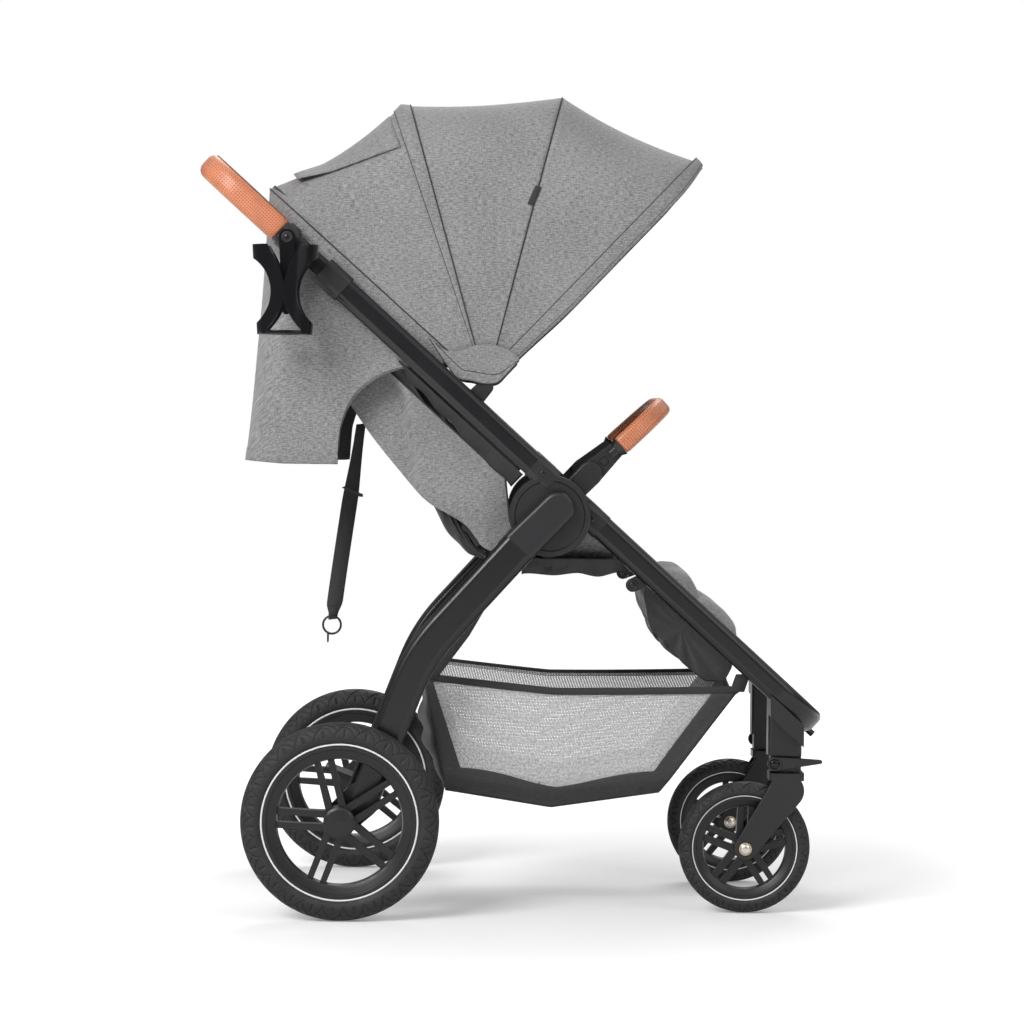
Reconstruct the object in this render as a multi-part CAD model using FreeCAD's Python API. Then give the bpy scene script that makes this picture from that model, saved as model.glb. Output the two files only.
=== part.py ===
import FreeCAD, Part
import math
import os

# Folding four-wheel buggy with large rear wheels, swivelling front wheels, a reclining seat,
# a three-bow canopy and a mesh basket.  Millimetres.  +X is forward, +Z is up, and the origin
# lies on the ground under the middle of the whole.  Left is +Y.

# ---- ground and wheels -------------------------------------------------------------------
REAR_WHEEL_R = 145.0
FRONT_WHEEL_R = 98.0
REAR_AXLE_X = -246.0
FRONT_AXLE_X = 352.5
REAR_TRACK = 560.0
FRONT_TRACK = 318.0
REAR_TYRE_WIDTH = 42.0
FRONT_TYRE_WIDTH = 36.0
TYRE_SECTION_SHARE = 0.225
SPOKE_PAIRS = 5
SPOKE_PAIR_GAP = 9.5
SPOKE_WIDTH = 10.5
SPOKE_HUB_DEPTH = 22.0
SPOKE_RIM_DEPTH = 12.0
RIM_WALL = 3.5
HUB_R = 23.0
FRONT_HUB_R = 17.0
AXLE_R = 6.0
REAR_SPOKE_ANGLE = 33.0
FRONT_SPOKE_ANGLE = 16.0

# ---- clearances --------------------------------------------------------------------------
SEAM = 0.5
RUNNING_FIT = 0.08
SOFT_GAP = 1.0
TYRE_GAP = 2.5

# ---- frame: one straight line of tube through both halves, the fold pivot just below it --
HINGE_X = 55.5
HINGE_Z = 591.0
FRAME_SLOPE = 42.1
TUBE_OFFSET = 39.0
TUBE_TALL = 36.0
TUBE_THIN = 22.0
TUBE_WALL = 2.0
LOWER_TUBE_Y = 197.0
HINGE_LAYER_GAP = 1.5
HINGE_DISC_R = 60.0
HINGE_PIN_R = 8.0
COLLAR_START = 30.0
COLLAR_END = 69.0
COLLAR_WALL = 1.5
HINGE_RIM = 8.0
HINGE_SINK = 1.5
HINGE_CHAMFER = 2.0
FRONT_BAR_S = 498.0
FRONT_BEND_R = 70.0
STUD_R = 5.0
STUD_LENGTH = 13.0
STUD_Y = 118.0

# ---- push handle -------------------------------------------------------------------------
OUTER_TUBE_END = 478.0
LOCK_OVERLAP = 32.0
LOCK_LIP = 12.0
LOCK_WALL = 3.0
HANDLE_BAR_S = 716.0
HANDLE_BEND_R = 62.0
INNER_TUBE_START = 340.0
GRIP_START = 574.0
GRIP_WALL = 3.0
GRIP_JOINT_LENGTH = 28.0
HANDLE_TRAVEL = 45.0

# ---- rear legs ---------------------------------------------------------------------------
LEG_WIDTH = 52.0
LEG_THIN = 22.0
LEG_SHIFT = -3.0
LEG_BEND_N = -279.0
LEG_BEND_TURN = 21.0
LEG_BEND_R = 280.0
LEG_FOOT_N = -492.0
BOSS_TOP_N = 16.0
BOSS_END_N = -64.0
BOSS_END_R = 24.5
BOSS_EDGE_R = 7.0
BOSS_PLUG_INSET = 6.0
AXLE_BEAM_R = 11.0
FOOT_R = 25.0
FOOT_TOP_R = 27.0
PEDAL_WALL = 6.0
PEDAL_RING_HALF = 26.0
PEDAL_HALF = 34.0
PEDAL_REACH = 62.0
PEDAL_RISE = 20.0

# ---- swivel wheels -----------------------------------------------------------------------
STEM_X = 410.0
STEM_R = 9.0
STEM_LENGTH = 68.0
HOUSING_LENGTH = 50.0
HOUSING_STEP_Z = 237.0
HOUSING_BOTTOM_Z = 213.5
HOUSING_WIDTH = 42.0
HOUSING_STEP = 4.0
HOUSING_CORNER_R = 5.0
HOUSING_BITE = 9.0
HOUSING_SADDLE = 24.0
FORK_CROWN_TOP_Z = 211.0
FORK_CROWN_BOTTOM_Z = 200.0
FORK_PLATE = 6.0
FORK_END_R = 17.0
FORK_CROWN_R = 26.0
FORK_CROWN_LEAD = 3.0
FORK_EDGE_R = 2.0
FORK_WASHER_R = 15.0
FORK_WASHER = 1.6
LEVER_PIVOT_X = 394.0
LEVER_PIVOT_Z = 225.5
LEVER_TIP_X = 462.0
LEVER_TIP_Z = 229.0
LEVER_HUB_R = 10.5
LEVER_THICK = 7.0
LEVER_TIP_R = 3.0
LEVER_EDGE_R = 1.5

# ---- seat --------------------------------------------------------------------------------
SEAT_HALF_WIDTH = 150.0
SEAT_REAR_X = -40.0
SEAT_FRONT_X = 118.0
SEAT_UNDERSIDE = -74.0
SEAT_BOARD = 6.0
SEAT_TOP = -16.0
RAIL_R = 5.0
HANGER_R = 10.0
HANGER_INSET = 12.0
RECLINE_PIVOT_X = -65.0
RECLINE_PIVOT_Z = -46.0
RECLINE_PIN_R = 4.0
BACK_ANGLE = 124.0
BACK_FOOT_X = -108.0
BACK_FOOT_Z = -50.0
BACK_LENGTH = 465.0
BACK_BOARD = 6.0
BACK_PAD = 46.0
BACK_ARM = 5.0
BACK_HALF_WIDTH = 152.0
BACK_ARM_AT = 34.0
SHELL_SHEET = 2.0
SHELL_FOOT = (-90.0, -70.0)
SHELL_START = -8.0
SHELL_FULL_AT = 170.0
SHELL_DEPTH = 44.6
SHELL_SHOULDER = 95.0
SHELL_SHOULDER_DEPTH = 40.2
SHELL_TOP_DEPTH = 22.0
SHELL_STEPS = 6
PANEL_SHEET = 1.8
PANEL_DROP = 25.0
PANEL_TOP_S = -458.0
PANEL_STRAPS_S = (-225.0, -320.0)

# ---- calf rest ---------------------------------------------------------------------------
CALF_PIVOT_S = 161.0
CALF_PIVOT_N = 7.4
CALF_START_S = 172.0
CALF_END_S = 352.0
CALF_PAD_TOP_N = 68.0
CALF_PAD_BULGE = 7.0
CALF_BOARD_TOP_N = 26.0
CALF_HALF_WIDTH = 150.0
CALF_TOE = 18.0
CALF_TOE_N = 4.0
CALF_BELLY_S = 262.0
CALF_BELLY_N = -26.0
CALF_HEEL = 14.0
CALF_HEEL_N = 6.0

# ---- bumper bar --------------------------------------------------------------------------
BUMPER_HUB_X = 59.8
BUMPER_HUB_Z = 61.6
BUMPER_HUB_R = 18.0
BUMPER_RISE = 43.0
BUMPER_REACH = 148.0
BUMPER_Y = 175.0
BUMPER_ARM_THIN = 18.0
BUMPER_ARM_TALL = 24.0
BUMPER_BEND_R = 84.0
BUMPER_GRIP_START = 62.0
BUMPER_GRIP_WALL = 2.5
BUMPER_CORE_INSET = 8.0
BELL_LENGTH = 9.0
BELL_FLARE = 1.0
MOUNT_ROOT_R = 17.0
MOUNT_EDGE_R = 2.5
BUTTON_AT = 28.0
BUTTON_HALF = 5.0
BUTTON_DEPTH = 4.0
BUTTON_PROUD = 2.0
BUTTON_TRAVEL = 3.0

# ---- canopy ------------------------------------------------------------------------------
CANOPY_PIVOT_S = 199.0
CANOPY_PIVOT_N = 77.0
CANOPY_PIN_R = 4.0
BOW_STRIP = 12.0
BOW_THICK = 3.5
BOW_LAYER = 4.0
BOW_EYE_R = 11.0
BOW_CORNER_R = 95.0
CANOPY_SHEET = 1.6
CLOTH_LIFT = 2.2
CANOPY_START_R = 46.0
DRAPE_BACK = 350.5
DRAPE_DROP = 113.5
DRAPE_HEM = 217.5
DRAPE_HEM_DROP = 118.5
DRAPE_CURVE = 181.5
DRAPE_CURVE_DROP = 24.5
DRAPE_SIDE_R = 175.0
DRAPE_SIDE_TURN = 7.0
DRAPE_TOP_INSET = (7.0, 10.0)
BACK_BOW = (137.9, 440.0)
REAR_BOW = (107.5, 438.0)
MID_BOW = (75.8, 447.0)
FRONT_BOW = (46.5, 465.0)

# ---- basket ------------------------------------------------------------------------------
BASKET_HALF_WIDTH = 168.0
BASKET_SHEET = 2.0
BASKET_RIM_R = 3.5
BASKET_REAR_X = -126.0
BASKET_FRONT_X = 340.0
BASKET_RIM_REAR_Z = 348.0
BASKET_RIM_MID_Z = 332.0
BASKET_RIM_FRONT_Z = 334.0
BASKET_FLOOR_REAR_X = -95.0
BASKET_FLOOR_MID_X = 63.0
BASKET_FLOOR_FRONT_X = 225.0
BASKET_FLOOR_END_Z = 180.0
BASKET_FLOOR_MID_Z = 156.0

# ---- recline strap -----------------------------------------------------------------------
STRAP_ANCHOR_AT = 246.5
STRAP_MIDDLE = (-18.0, -132.0)
STRAP_END = (-38.0, -276.0)
STRAP_WIDTH = 25.0
STRAP_TAB = 14.0
STRAP_THICK = 2.4
SLIDER_AT = (-11.4, -103.3)
RING_AT = (-40.6, -308.6)
SMALL_RING_AT = (-46.6, -327.3)
RING_R = 13.7
SMALL_RING_R = 7.5
RING_WIRE_R = 1.7

# ---- cup holder --------------------------------------------------------------------------
CUP_CLAMP_S = 559.0
CUP_BAND = 3.0
CUP_STUD_R = 6.0
CUP_HALF_ACROSS = 36.0
CUP_HALF_BOTTOM = 40.0
CUP_HALF_TOP = 48.0
CUP_HEIGHT = 130.0
CUP_DROP = 13.0
CUP_WALL = 3.0
CUP_BASE = 6.0
CUP_BASE_HOLE_R = 24.0
CUP_WAIST = 38.0
CUP_WAIST_Z = 61.0
CUP_SIDE_BITE_R = 57.0

UP = FreeCAD.Vector(0, 0, 1)
ACROSS = FreeCAD.Vector(0, 1, 0)
ORIGIN = FreeCAD.Vector(0, 0, 0)
SLOPE = math.radians(FRAME_SLOPE)
LOWER_INNER_Y = LOWER_TUBE_Y - TUBE_THIN / 2
LOWER_OUTER_Y = LOWER_TUBE_Y + TUBE_THIN / 2
UPPER_INNER_Y = LOWER_OUTER_Y + HINGE_LAYER_GAP
UPPER_TUBE_Y = UPPER_INNER_Y + TUBE_THIN / 2
UPPER_OUTER_Y = UPPER_INNER_Y + TUBE_THIN
LEG_INNER_Y = UPPER_OUTER_Y + HINGE_LAYER_GAP
LEG_Y = LEG_INNER_Y + LEG_THIN / 2
LEG_OUTER_Y = LEG_INNER_Y + LEG_THIN
REAR_WHEEL_Y = REAR_TRACK / 2
FRONT_WHEEL_Y = FRONT_TRACK / 2
LEVER_Y = FRONT_WHEEL_Y + HOUSING_WIDTH / 2 + SEAM
LOCK_START = OUTER_TUBE_END - LOCK_OVERLAP
LOCK_END = OUTER_TUBE_END + LOCK_LIP
INNER_TALL = TUBE_TALL - 2 * TUBE_WALL - 2 * SEAM
INNER_THIN = TUBE_THIN - 2 * TUBE_WALL - 2 * SEAM
PLUG_WIDTH = LEG_WIDTH - 2 * TUBE_WALL - 2 * SEAM - 2 * BOSS_PLUG_INSET
PLUG_THIN = LEG_THIN - 2 * TUBE_WALL - 2 * SEAM
BACK_ARM_Y = BACK_HALF_WIDTH + SOFT_GAP
BACK_BOW_Y = UPPER_INNER_Y - BOW_LAYER - CANOPY_SHEET - CLOTH_LIFT
CUP_SIDE_Y = -UPPER_OUTER_Y - CUP_BAND - SEAM
CUP_Y = CUP_SIDE_Y - CUP_HALF_ACROSS
HINGE = (HINGE_X, HINGE_Z)
REAR_AXLE = (REAR_AXLE_X, REAR_WHEEL_R)
FRONT_AXLE = (FRONT_AXLE_X, FRONT_WHEEL_R)
BUMPER_HUB = (HINGE_X + BUMPER_HUB_X, HINGE_Z + BUMPER_HUB_Z)

parts = {}


# ---- small drawing helpers ---------------------------------------------------------------
def vector(x, y, z):
    return FreeCAD.Vector(x, y, z)


def unit(v):
    return FreeCAD.Vector(v).normalize()


def on_frame(s, n):
    """X, Z of a point s down the frame line from the fold pivot and n square to it, upward."""
    x = HINGE_X + s * math.cos(SLOPE) + n * math.sin(SLOPE)
    z = HINGE_Z - s * math.sin(SLOPE) + n * math.cos(SLOPE)
    return x, z


def at(point, y):
    return vector(point[0], y, point[1])


def from_hinge(x, z):
    return HINGE_X + x, HINGE_Z + z


def polar(centre, degrees, distance):
    angle = math.radians(degrees)
    return centre[0] + distance * math.cos(angle), centre[1] + distance * math.sin(angle)


CANOPY_PIVOT = on_frame(-CANOPY_PIVOT_S, CANOPY_PIVOT_N)
CUP_HANG = on_frame(-CUP_CLAMP_S, TUBE_OFFSET)


def mirrored(shape):
    return shape.mirror(ORIGIN, ACROSS)


def pair(shape):
    return Part.makeCompound([shape, mirrored(shape)])


def plate(points, y0, y1):
    """Flat piece with a straight-sided outline in the side view."""
    corners = [at(p, y0) for p in points]
    outline = Part.makePolygon(corners + corners[:1])
    return Part.Face(outline).extrude(ACROSS * (y1 - y0))


def disc(centre, radius, y0, y1):
    return Part.makeCylinder(radius, y1 - y0, at(centre, y0), ACROSS)


def link(p, q, p_radius, q_radius, y0, y1):
    """Flat plate with a round end at each of two points."""
    lean = math.asin((p_radius - q_radius) / math.dist(p, q))
    heading = math.atan2(q[1] - p[1], q[0] - p[0])
    left = heading + math.pi / 2 - lean
    right = heading - math.pi / 2 + lean

    def rim(centre, radius, angle):
        return vector(centre[0] + radius * math.cos(angle), y0, centre[1] + radius * math.sin(angle))

    p_left = rim(p, p_radius, left)
    p_right = rim(p, p_radius, right)
    q_left = rim(q, q_radius, left)
    q_right = rim(q, q_radius, right)
    edges = [
        Part.Arc(p_left, rim(p, p_radius, heading + math.pi), p_right).toShape(),
        Part.makeLine(p_right, q_right),
        Part.Arc(q_right, rim(q, q_radius, heading), q_left).toShape(),
        Part.makeLine(q_left, p_left),
    ]
    return Part.Face(Part.Wire(edges)).extrude(ACROSS * (y1 - y0))


def softened(shape, y, radius):
    """Flat piece with the outline of its face at y rounded over."""
    outline = [e for e in shape.Edges if all(abs(v.Y - y) < SEAM / 10 for v in e.Vertexes)]
    return shape.makeFillet(radius, outline)


def with_round_corners(block, radius):
    """Block with its upright edges rounded."""
    upright = [e for e in block.Edges if abs(e.tangentAt(e.FirstParameter).z) > 0.999]
    return block.makeFillet(radius, upright)


def bent_path(points, radius):
    """Route of straight runs whose corners are rounded to one bend radius."""
    edges = []
    start = points[0]
    for corner, after in zip(points[1:-1], points[2:]):
        into = unit(corner - start)
        out = unit(after - corner)
        half_turn = into.getAngle(out) / 2
        setback = radius * math.tan(half_turn)
        crown = corner + unit(out - into) * (radius / math.cos(half_turn) - radius)
        arc_start = corner - into * setback
        arc_end = corner + out * setback
        edges.append(Part.makeLine(start, arc_start))
        edges.append(Part.Arc(arc_start, crown, arc_end).toShape())
        start = arc_end
    edges.append(Part.makeLine(start, points[-1]))
    return Part.Wire(edges)


def oval(centre, tall_axis, thin_axis, tall, thin):
    """Flat-oval tube section with half-round ends."""
    side = unit(thin_axis) * (thin / 2)
    end = unit(tall_axis) * (tall - thin) * 0.5
    crown = unit(tall_axis) * (tall / 2)
    edges = [
        Part.makeLine(centre - end + side, centre + end + side),
        Part.Arc(centre + end + side, centre + crown, centre + end - side).toShape(),
        Part.makeLine(centre + end - side, centre - end - side),
        Part.Arc(centre - end - side, centre - crown, centre - end + side).toShape(),
    ]
    return Part.Wire(edges)


def sweep(path, section):
    return path.makePipeShell([section], True, False)


def oval_tube(path, start, tall_axis, thin_axis, tall, thin, wall):
    """Hollow flat-oval tube along a route."""
    outer = sweep(path, oval(start, tall_axis, thin_axis, tall, thin))
    inner = sweep(path, oval(start, tall_axis, thin_axis, tall - 2 * wall, thin - 2 * wall))
    return outer.cut(inner)


def spun(profile, centre, y):
    """Solid of revolution about an axle across the frame: profile is (radius, offset) pairs."""
    corners = [vector(r, offset, 0) for r, offset in profile]
    face = Part.Face(Part.makePolygon(corners + corners[:1]))
    solid = face.revolve(ORIGIN, ACROSS, 360)
    solid.translate(at(centre, y))
    return solid


def frame_direction():
    return vector(math.cos(SLOPE), 0, -math.sin(SLOPE))


def frame_normal():
    return vector(math.sin(SLOPE), 0, math.cos(SLOPE))


def straight_tube(s0, s1, y, tall, thin, wall):
    """Straight flat-oval tube on the frame line; a wall of 0 makes it solid."""
    start = at(on_frame(s0, TUBE_OFFSET), y)
    run = frame_direction() * (s1 - s0)
    outer = Part.Face(oval(start, frame_normal(), ACROSS, tall, thin)).extrude(run)
    if wall == 0:
        return outer
    bore = Part.Face(oval(start, frame_normal(), ACROSS, tall - 2 * wall, thin - 2 * wall))
    return outer.cut(bore.extrude(run))


# ---- frame -------------------------------------------------------------------------------
def front_frame():
    """Lower U: two side tubes joined by the bar in front of the child's feet."""
    corners = [
        at(on_frame(COLLAR_END, TUBE_OFFSET), -LOWER_TUBE_Y),
        at(on_frame(FRONT_BAR_S, TUBE_OFFSET), -LOWER_TUBE_Y),
        at(on_frame(FRONT_BAR_S, TUBE_OFFSET), LOWER_TUBE_Y),
        at(on_frame(COLLAR_END, TUBE_OFFSET), LOWER_TUBE_Y),
    ]
    path = bent_path(corners, FRONT_BEND_R)
    tube = oval_tube(path, corners[0], frame_normal(), ACROSS, TUBE_TALL, TUBE_THIN, TUBE_WALL)
    stud_foot = at(on_frame(FRONT_BAR_S + TUBE_THIN / 2 - STUD_R, TUBE_OFFSET - STUD_LENGTH), STUD_Y)
    stud = Part.makeCylinder(STUD_R, STUD_LENGTH, stud_foot, frame_direction())
    hollow = sweep(path, oval(corners[0], frame_normal(), ACROSS,
                              TUBE_TALL - TUBE_WALL, TUBE_THIN - TUBE_WALL))
    return tube.fuse(pair(stud.cut(hollow)).Solids)


def hinge_collar(direction, y0, y1, tube_y):
    """Collar on a hinge disc that holds the end of its frame tube."""
    s0 = direction * COLLAR_START
    s1 = direction * COLLAR_END
    return straight_tube(s0, s1, tube_y, TUBE_TALL + 2 * COLLAR_WALL, y1 - y0, 0)


def lower_hinge():
    """Inner half of the fold joint, with the pin that the other two layers turn on."""
    body = disc(HINGE, HINGE_DISC_R, LOWER_INNER_Y, LOWER_OUTER_Y)
    collar = hinge_collar(1, LOWER_INNER_Y, LOWER_OUTER_Y, LOWER_TUBE_Y)
    pin = disc(HINGE, HINGE_PIN_R, LOWER_OUTER_Y - SEAM, LEG_OUTER_Y - 2 * SEAM)
    return body.fuse([collar, pin])


def hinge_cover():
    """Turned disc of the outer hinge half: a raised rim, chamfered outside, round a sunk face."""
    rim_r = HINGE_DISC_R - HINGE_RIM
    profile = [(0, 0), (HINGE_DISC_R, 0), (HINGE_DISC_R, TUBE_THIN - HINGE_CHAMFER),
               (HINGE_DISC_R - HINGE_CHAMFER, TUBE_THIN), (rim_r, TUBE_THIN),
               (rim_r - HINGE_SINK, TUBE_THIN - HINGE_SINK), (0, TUBE_THIN - HINGE_SINK)]
    return spun(profile, HINGE, UPPER_INNER_Y)


def upper_hinge():
    """Outer half of the fold joint, with the lug and pin that carry the backrest."""
    collar = hinge_collar(-1, UPPER_INNER_Y, UPPER_OUTER_Y, UPPER_TUBE_Y)
    pivot = from_hinge(RECLINE_PIVOT_X, RECLINE_PIVOT_Z)
    lug = link(HINGE, pivot, HINGE_DISC_R / 2, 3 * RECLINE_PIN_R,
               UPPER_INNER_Y, UPPER_OUTER_Y - HINGE_SINK - SEAM)
    pin = disc(pivot, RECLINE_PIN_R, BACK_ARM_Y, UPPER_INNER_Y + SEAM)
    bore = disc(HINGE, HINGE_PIN_R + RUNNING_FIT, UPPER_INNER_Y - SEAM, UPPER_OUTER_Y + SEAM)
    return hinge_cover().fuse([collar, lug, pin]).cut(bore)


def upper_tube():
    return straight_tube(-COLLAR_END, -OUTER_TUBE_END, UPPER_TUBE_Y, TUBE_TALL, TUBE_THIN, TUBE_WALL)


def height_lock():
    """Collar with the release catch at the mouth of the upper tube."""
    width = TUBE_TALL + 2 * LOCK_WALL
    depth = TUBE_THIN + LOCK_WALL
    body = straight_tube(-LOCK_START, -LOCK_END, UPPER_TUBE_Y, width, depth, 0)
    seat = straight_tube(-LOCK_START, -OUTER_TUBE_END, UPPER_TUBE_Y, TUBE_TALL, TUBE_THIN, 0)
    slide = straight_tube(-LOCK_START, -LOCK_END, UPPER_TUBE_Y, INNER_TALL + 2 * SEAM,
                          INNER_THIN + 2 * SEAM, 0)
    return body.cut(seat).cut(slide)


def handle_path(s_start):
    corners = [
        at(on_frame(-s_start, TUBE_OFFSET), -UPPER_TUBE_Y),
        at(on_frame(-HANDLE_BAR_S, TUBE_OFFSET), -UPPER_TUBE_Y),
        at(on_frame(-HANDLE_BAR_S, TUBE_OFFSET), UPPER_TUBE_Y),
        at(on_frame(-s_start, TUBE_OFFSET), UPPER_TUBE_Y),
    ]
    return bent_path(corners, HANDLE_BEND_R), corners[0]


def handle_tube():
    """Push handle: one bent tube whose legs slide in the upper tubes."""
    path, start = handle_path(INNER_TUBE_START)
    return oval_tube(path, start, frame_normal(), ACROSS, INNER_TALL, INNER_THIN, TUBE_WALL)


def handle_grip():
    path, start = handle_path(GRIP_START)
    tall = TUBE_TALL + GRIP_WALL - SEAM
    thin = TUBE_THIN + 2 * GRIP_WALL
    outer = sweep(path, oval(start, frame_normal(), ACROSS, tall, thin))
    core = sweep(path, oval(start, frame_normal(), ACROSS, INNER_TALL, INNER_THIN))
    return outer.cut(core)


def grip_joint():
    """Plastic sleeve below the grip."""
    s0 = -GRIP_START
    s1 = -GRIP_START + GRIP_JOINT_LENGTH
    body = straight_tube(s0, s1, UPPER_TUBE_Y, TUBE_TALL, TUBE_THIN, 0)
    return body.cut(straight_tube(s0, s1, UPPER_TUBE_Y, INNER_TALL, INNER_THIN, 0))


# ---- rear legs ---------------------------------------------------------------------------
def leg_route():
    """Side-view route of a leg: straight from the boss, then one long bend down to the axle."""
    drop = LEG_BEND_N - LEG_FOOT_N
    foot_s = LEG_SHIFT + drop * math.tan(math.radians(LEG_BEND_TURN))
    return (LEG_SHIFT, BOSS_END_N), (LEG_SHIFT, LEG_BEND_N), (foot_s, LEG_FOOT_N)


def rear_leg():
    route = [at(on_frame(s, n), LEG_Y) for s, n in leg_route()]
    path = bent_path(route, LEG_BEND_R)
    return oval_tube(path, route[0], frame_direction(), ACROSS, LEG_WIDTH, LEG_THIN, TUBE_WALL)


def leg_boss():
    """Moulded cap, rounded over outside, that closes the top of a leg and turns on the pin."""
    top = on_frame(0, BOSS_TOP_N)
    end = on_frame(LEG_SHIFT, BOSS_END_N)
    crown = link(top, end, BOSS_END_R, LEG_WIDTH / 2, LEG_INNER_Y, LEG_OUTER_Y)
    crown = softened(crown, LEG_OUTER_Y, BOSS_EDGE_R)
    below_n = BOSS_END_N - LEG_WIDTH
    trim = plate([on_frame(-LEG_WIDTH, BOSS_END_N), on_frame(LEG_WIDTH, BOSS_END_N),
                  on_frame(LEG_WIDTH, below_n), on_frame(-LEG_WIDTH, below_n)],
                 LEG_INNER_Y - 1, LEG_OUTER_Y + 1)
    plug = link(end, on_frame(LEG_SHIFT, below_n), PLUG_WIDTH / 2, PLUG_WIDTH / 2 - 1,
                LEG_Y - PLUG_THIN / 2, LEG_Y + PLUG_THIN / 2)
    bore = disc(HINGE, HINGE_PIN_R + RUNNING_FIT, LEG_INNER_Y - 1, LEG_OUTER_Y - SEAM)
    return crown.cut(trim).fuse(plug).cut(bore)


def rear_axle():
    """Cross tube between the legs with the foot that closes each leg and the stub axles."""
    foot_s, foot_n = leg_route()[2]
    leg_end = on_frame(foot_s, foot_n)
    foot = link(leg_end, REAR_AXLE, FOOT_TOP_R, FOOT_R, LEG_INNER_Y, LEG_OUTER_Y)
    route = [at(on_frame(s, n), LEG_Y) for s, n in leg_route()]
    leg = sweep(bent_path(route, LEG_BEND_R),
                oval(route[0], frame_direction(), ACROSS, LEG_WIDTH, LEG_THIN))
    foot = foot.cut(leg)
    stub = disc(REAR_AXLE, AXLE_R, LEG_OUTER_Y - 1, REAR_WHEEL_Y + REAR_TYRE_WIDTH / 2 - SOFT_GAP)
    beam = disc(leg_end, AXLE_BEAM_R, -LEG_INNER_Y, LEG_INNER_Y)
    return beam.fuse([foot, stub, mirrored(foot), mirrored(stub)])


def brake_pedal():
    """Foot pedal whose ring turns on the cross tube."""
    foot_s, foot_n = leg_route()[2]
    pivot = on_frame(foot_s, foot_n)
    ring_r = AXLE_BEAM_R + PEDAL_WALL
    bore = disc(pivot, AXLE_BEAM_R + SEAM, -PEDAL_HALF - 1, PEDAL_HALF + 1)
    ring_body = disc(pivot, ring_r, -PEDAL_RING_HALF, PEDAL_RING_HALF)
    tread = link((pivot[0] - ring_r, pivot[1] + 2), (pivot[0] - PEDAL_REACH, pivot[1] + PEDAL_RISE),
                 5, 4, -PEDAL_HALF, PEDAL_HALF)
    return ring_body.cut(bore).fuse(tread.cut(bore))


# ---- wheels ------------------------------------------------------------------------------
def tyre(centre, y, radius, width):
    """Tyre with a rounded crown, side wall shoulders and a bead that seats on the rim."""
    half = width / 2
    bead = radius * (1 - TYRE_SECTION_SHARE)
    tall = radius - bead
    profile = [
        (bead, -half * 0.62), (bead + tall * 0.18, -half * 0.84), (bead + tall * 0.45, -half),
        (radius - tall * 0.26, -half * 0.93), (radius - tall * 0.07, -half * 0.58),
        (radius, -half * 0.22), (radius, half * 0.22),
        (radius - tall * 0.07, half * 0.58), (radius - tall * 0.26, half * 0.93),
        (bead + tall * 0.45, half), (bead + tall * 0.18, half * 0.84), (bead, half * 0.62),
    ]
    return spun(profile, centre, y)


def spoke(inner_r, outer_r, offset):
    """One tapered bar of a spoke pair, standing up from the hub."""
    def section(r, width, depth):
        corners = [vector(offset - width / 2, -depth / 2, r), vector(offset + width / 2, -depth / 2, r),
                   vector(offset + width / 2, depth / 2, r), vector(offset - width / 2, depth / 2, r)]
        return Part.makePolygon(corners + corners[:1])
    hub_end = section(inner_r, SPOKE_WIDTH, SPOKE_HUB_DEPTH)
    rim_end = section(outer_r, SPOKE_WIDTH * 0.85, SPOKE_RIM_DEPTH)
    return Part.makeLoft([hub_end, rim_end], True, True)


def rim(centre, y, radius, width, hub_r, hub_half, first_spoke, scale):
    """Moulded wheel: channel rim, hub and paired spokes."""
    bead = radius * (1 - TYRE_SECTION_SHARE)
    half = width / 2
    inner = bead - radius * 0.135
    channel = spun([
        (bead, -half * 0.62), (bead, half * 0.62), (bead - RIM_WALL, half * 0.72),
        (inner, half * 0.48), (inner - RIM_WALL * 0.6, 0), (inner, -half * 0.48),
        (bead - RIM_WALL, -half * 0.72),
    ], (0, 0), 0)
    hub = Part.makeCylinder(hub_r, 2 * hub_half, vector(0, -hub_half, 0), ACROSS)
    offset = (SPOKE_PAIR_GAP + SPOKE_WIDTH) / 2 * scale
    pieces = [hub]
    for turn in range(SPOKE_PAIRS):
        for side in (-1, 1):
            bar = spoke(hub_r * 0.6, inner + RIM_WALL, side * offset)
            bar.rotate(ORIGIN, ACROSS, 90 - first_spoke - turn * 360 / SPOKE_PAIRS)
            pieces.append(bar)
    wheel = channel.fuse(pieces)
    bore = Part.makeCylinder(AXLE_R + RUNNING_FIT, 4 * hub_half, vector(0, -2 * hub_half, 0), ACROSS)
    wheel = wheel.cut(bore)
    wheel.translate(at(centre, y))
    return wheel.removeSplitter()


def rear_hub_cap(side):
    """Domed cap that covers the axle end and clips into the hub."""
    face = REAR_WHEEL_Y + REAR_TYRE_WIDTH / 2
    profile = [(0, 0), (HUB_R, 0), (HUB_R, 3), (HUB_R * 0.85, 5), (0, 6)]
    cap = spun(profile, REAR_AXLE, face)
    return cap if side > 0 else mirrored(cap)


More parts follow.
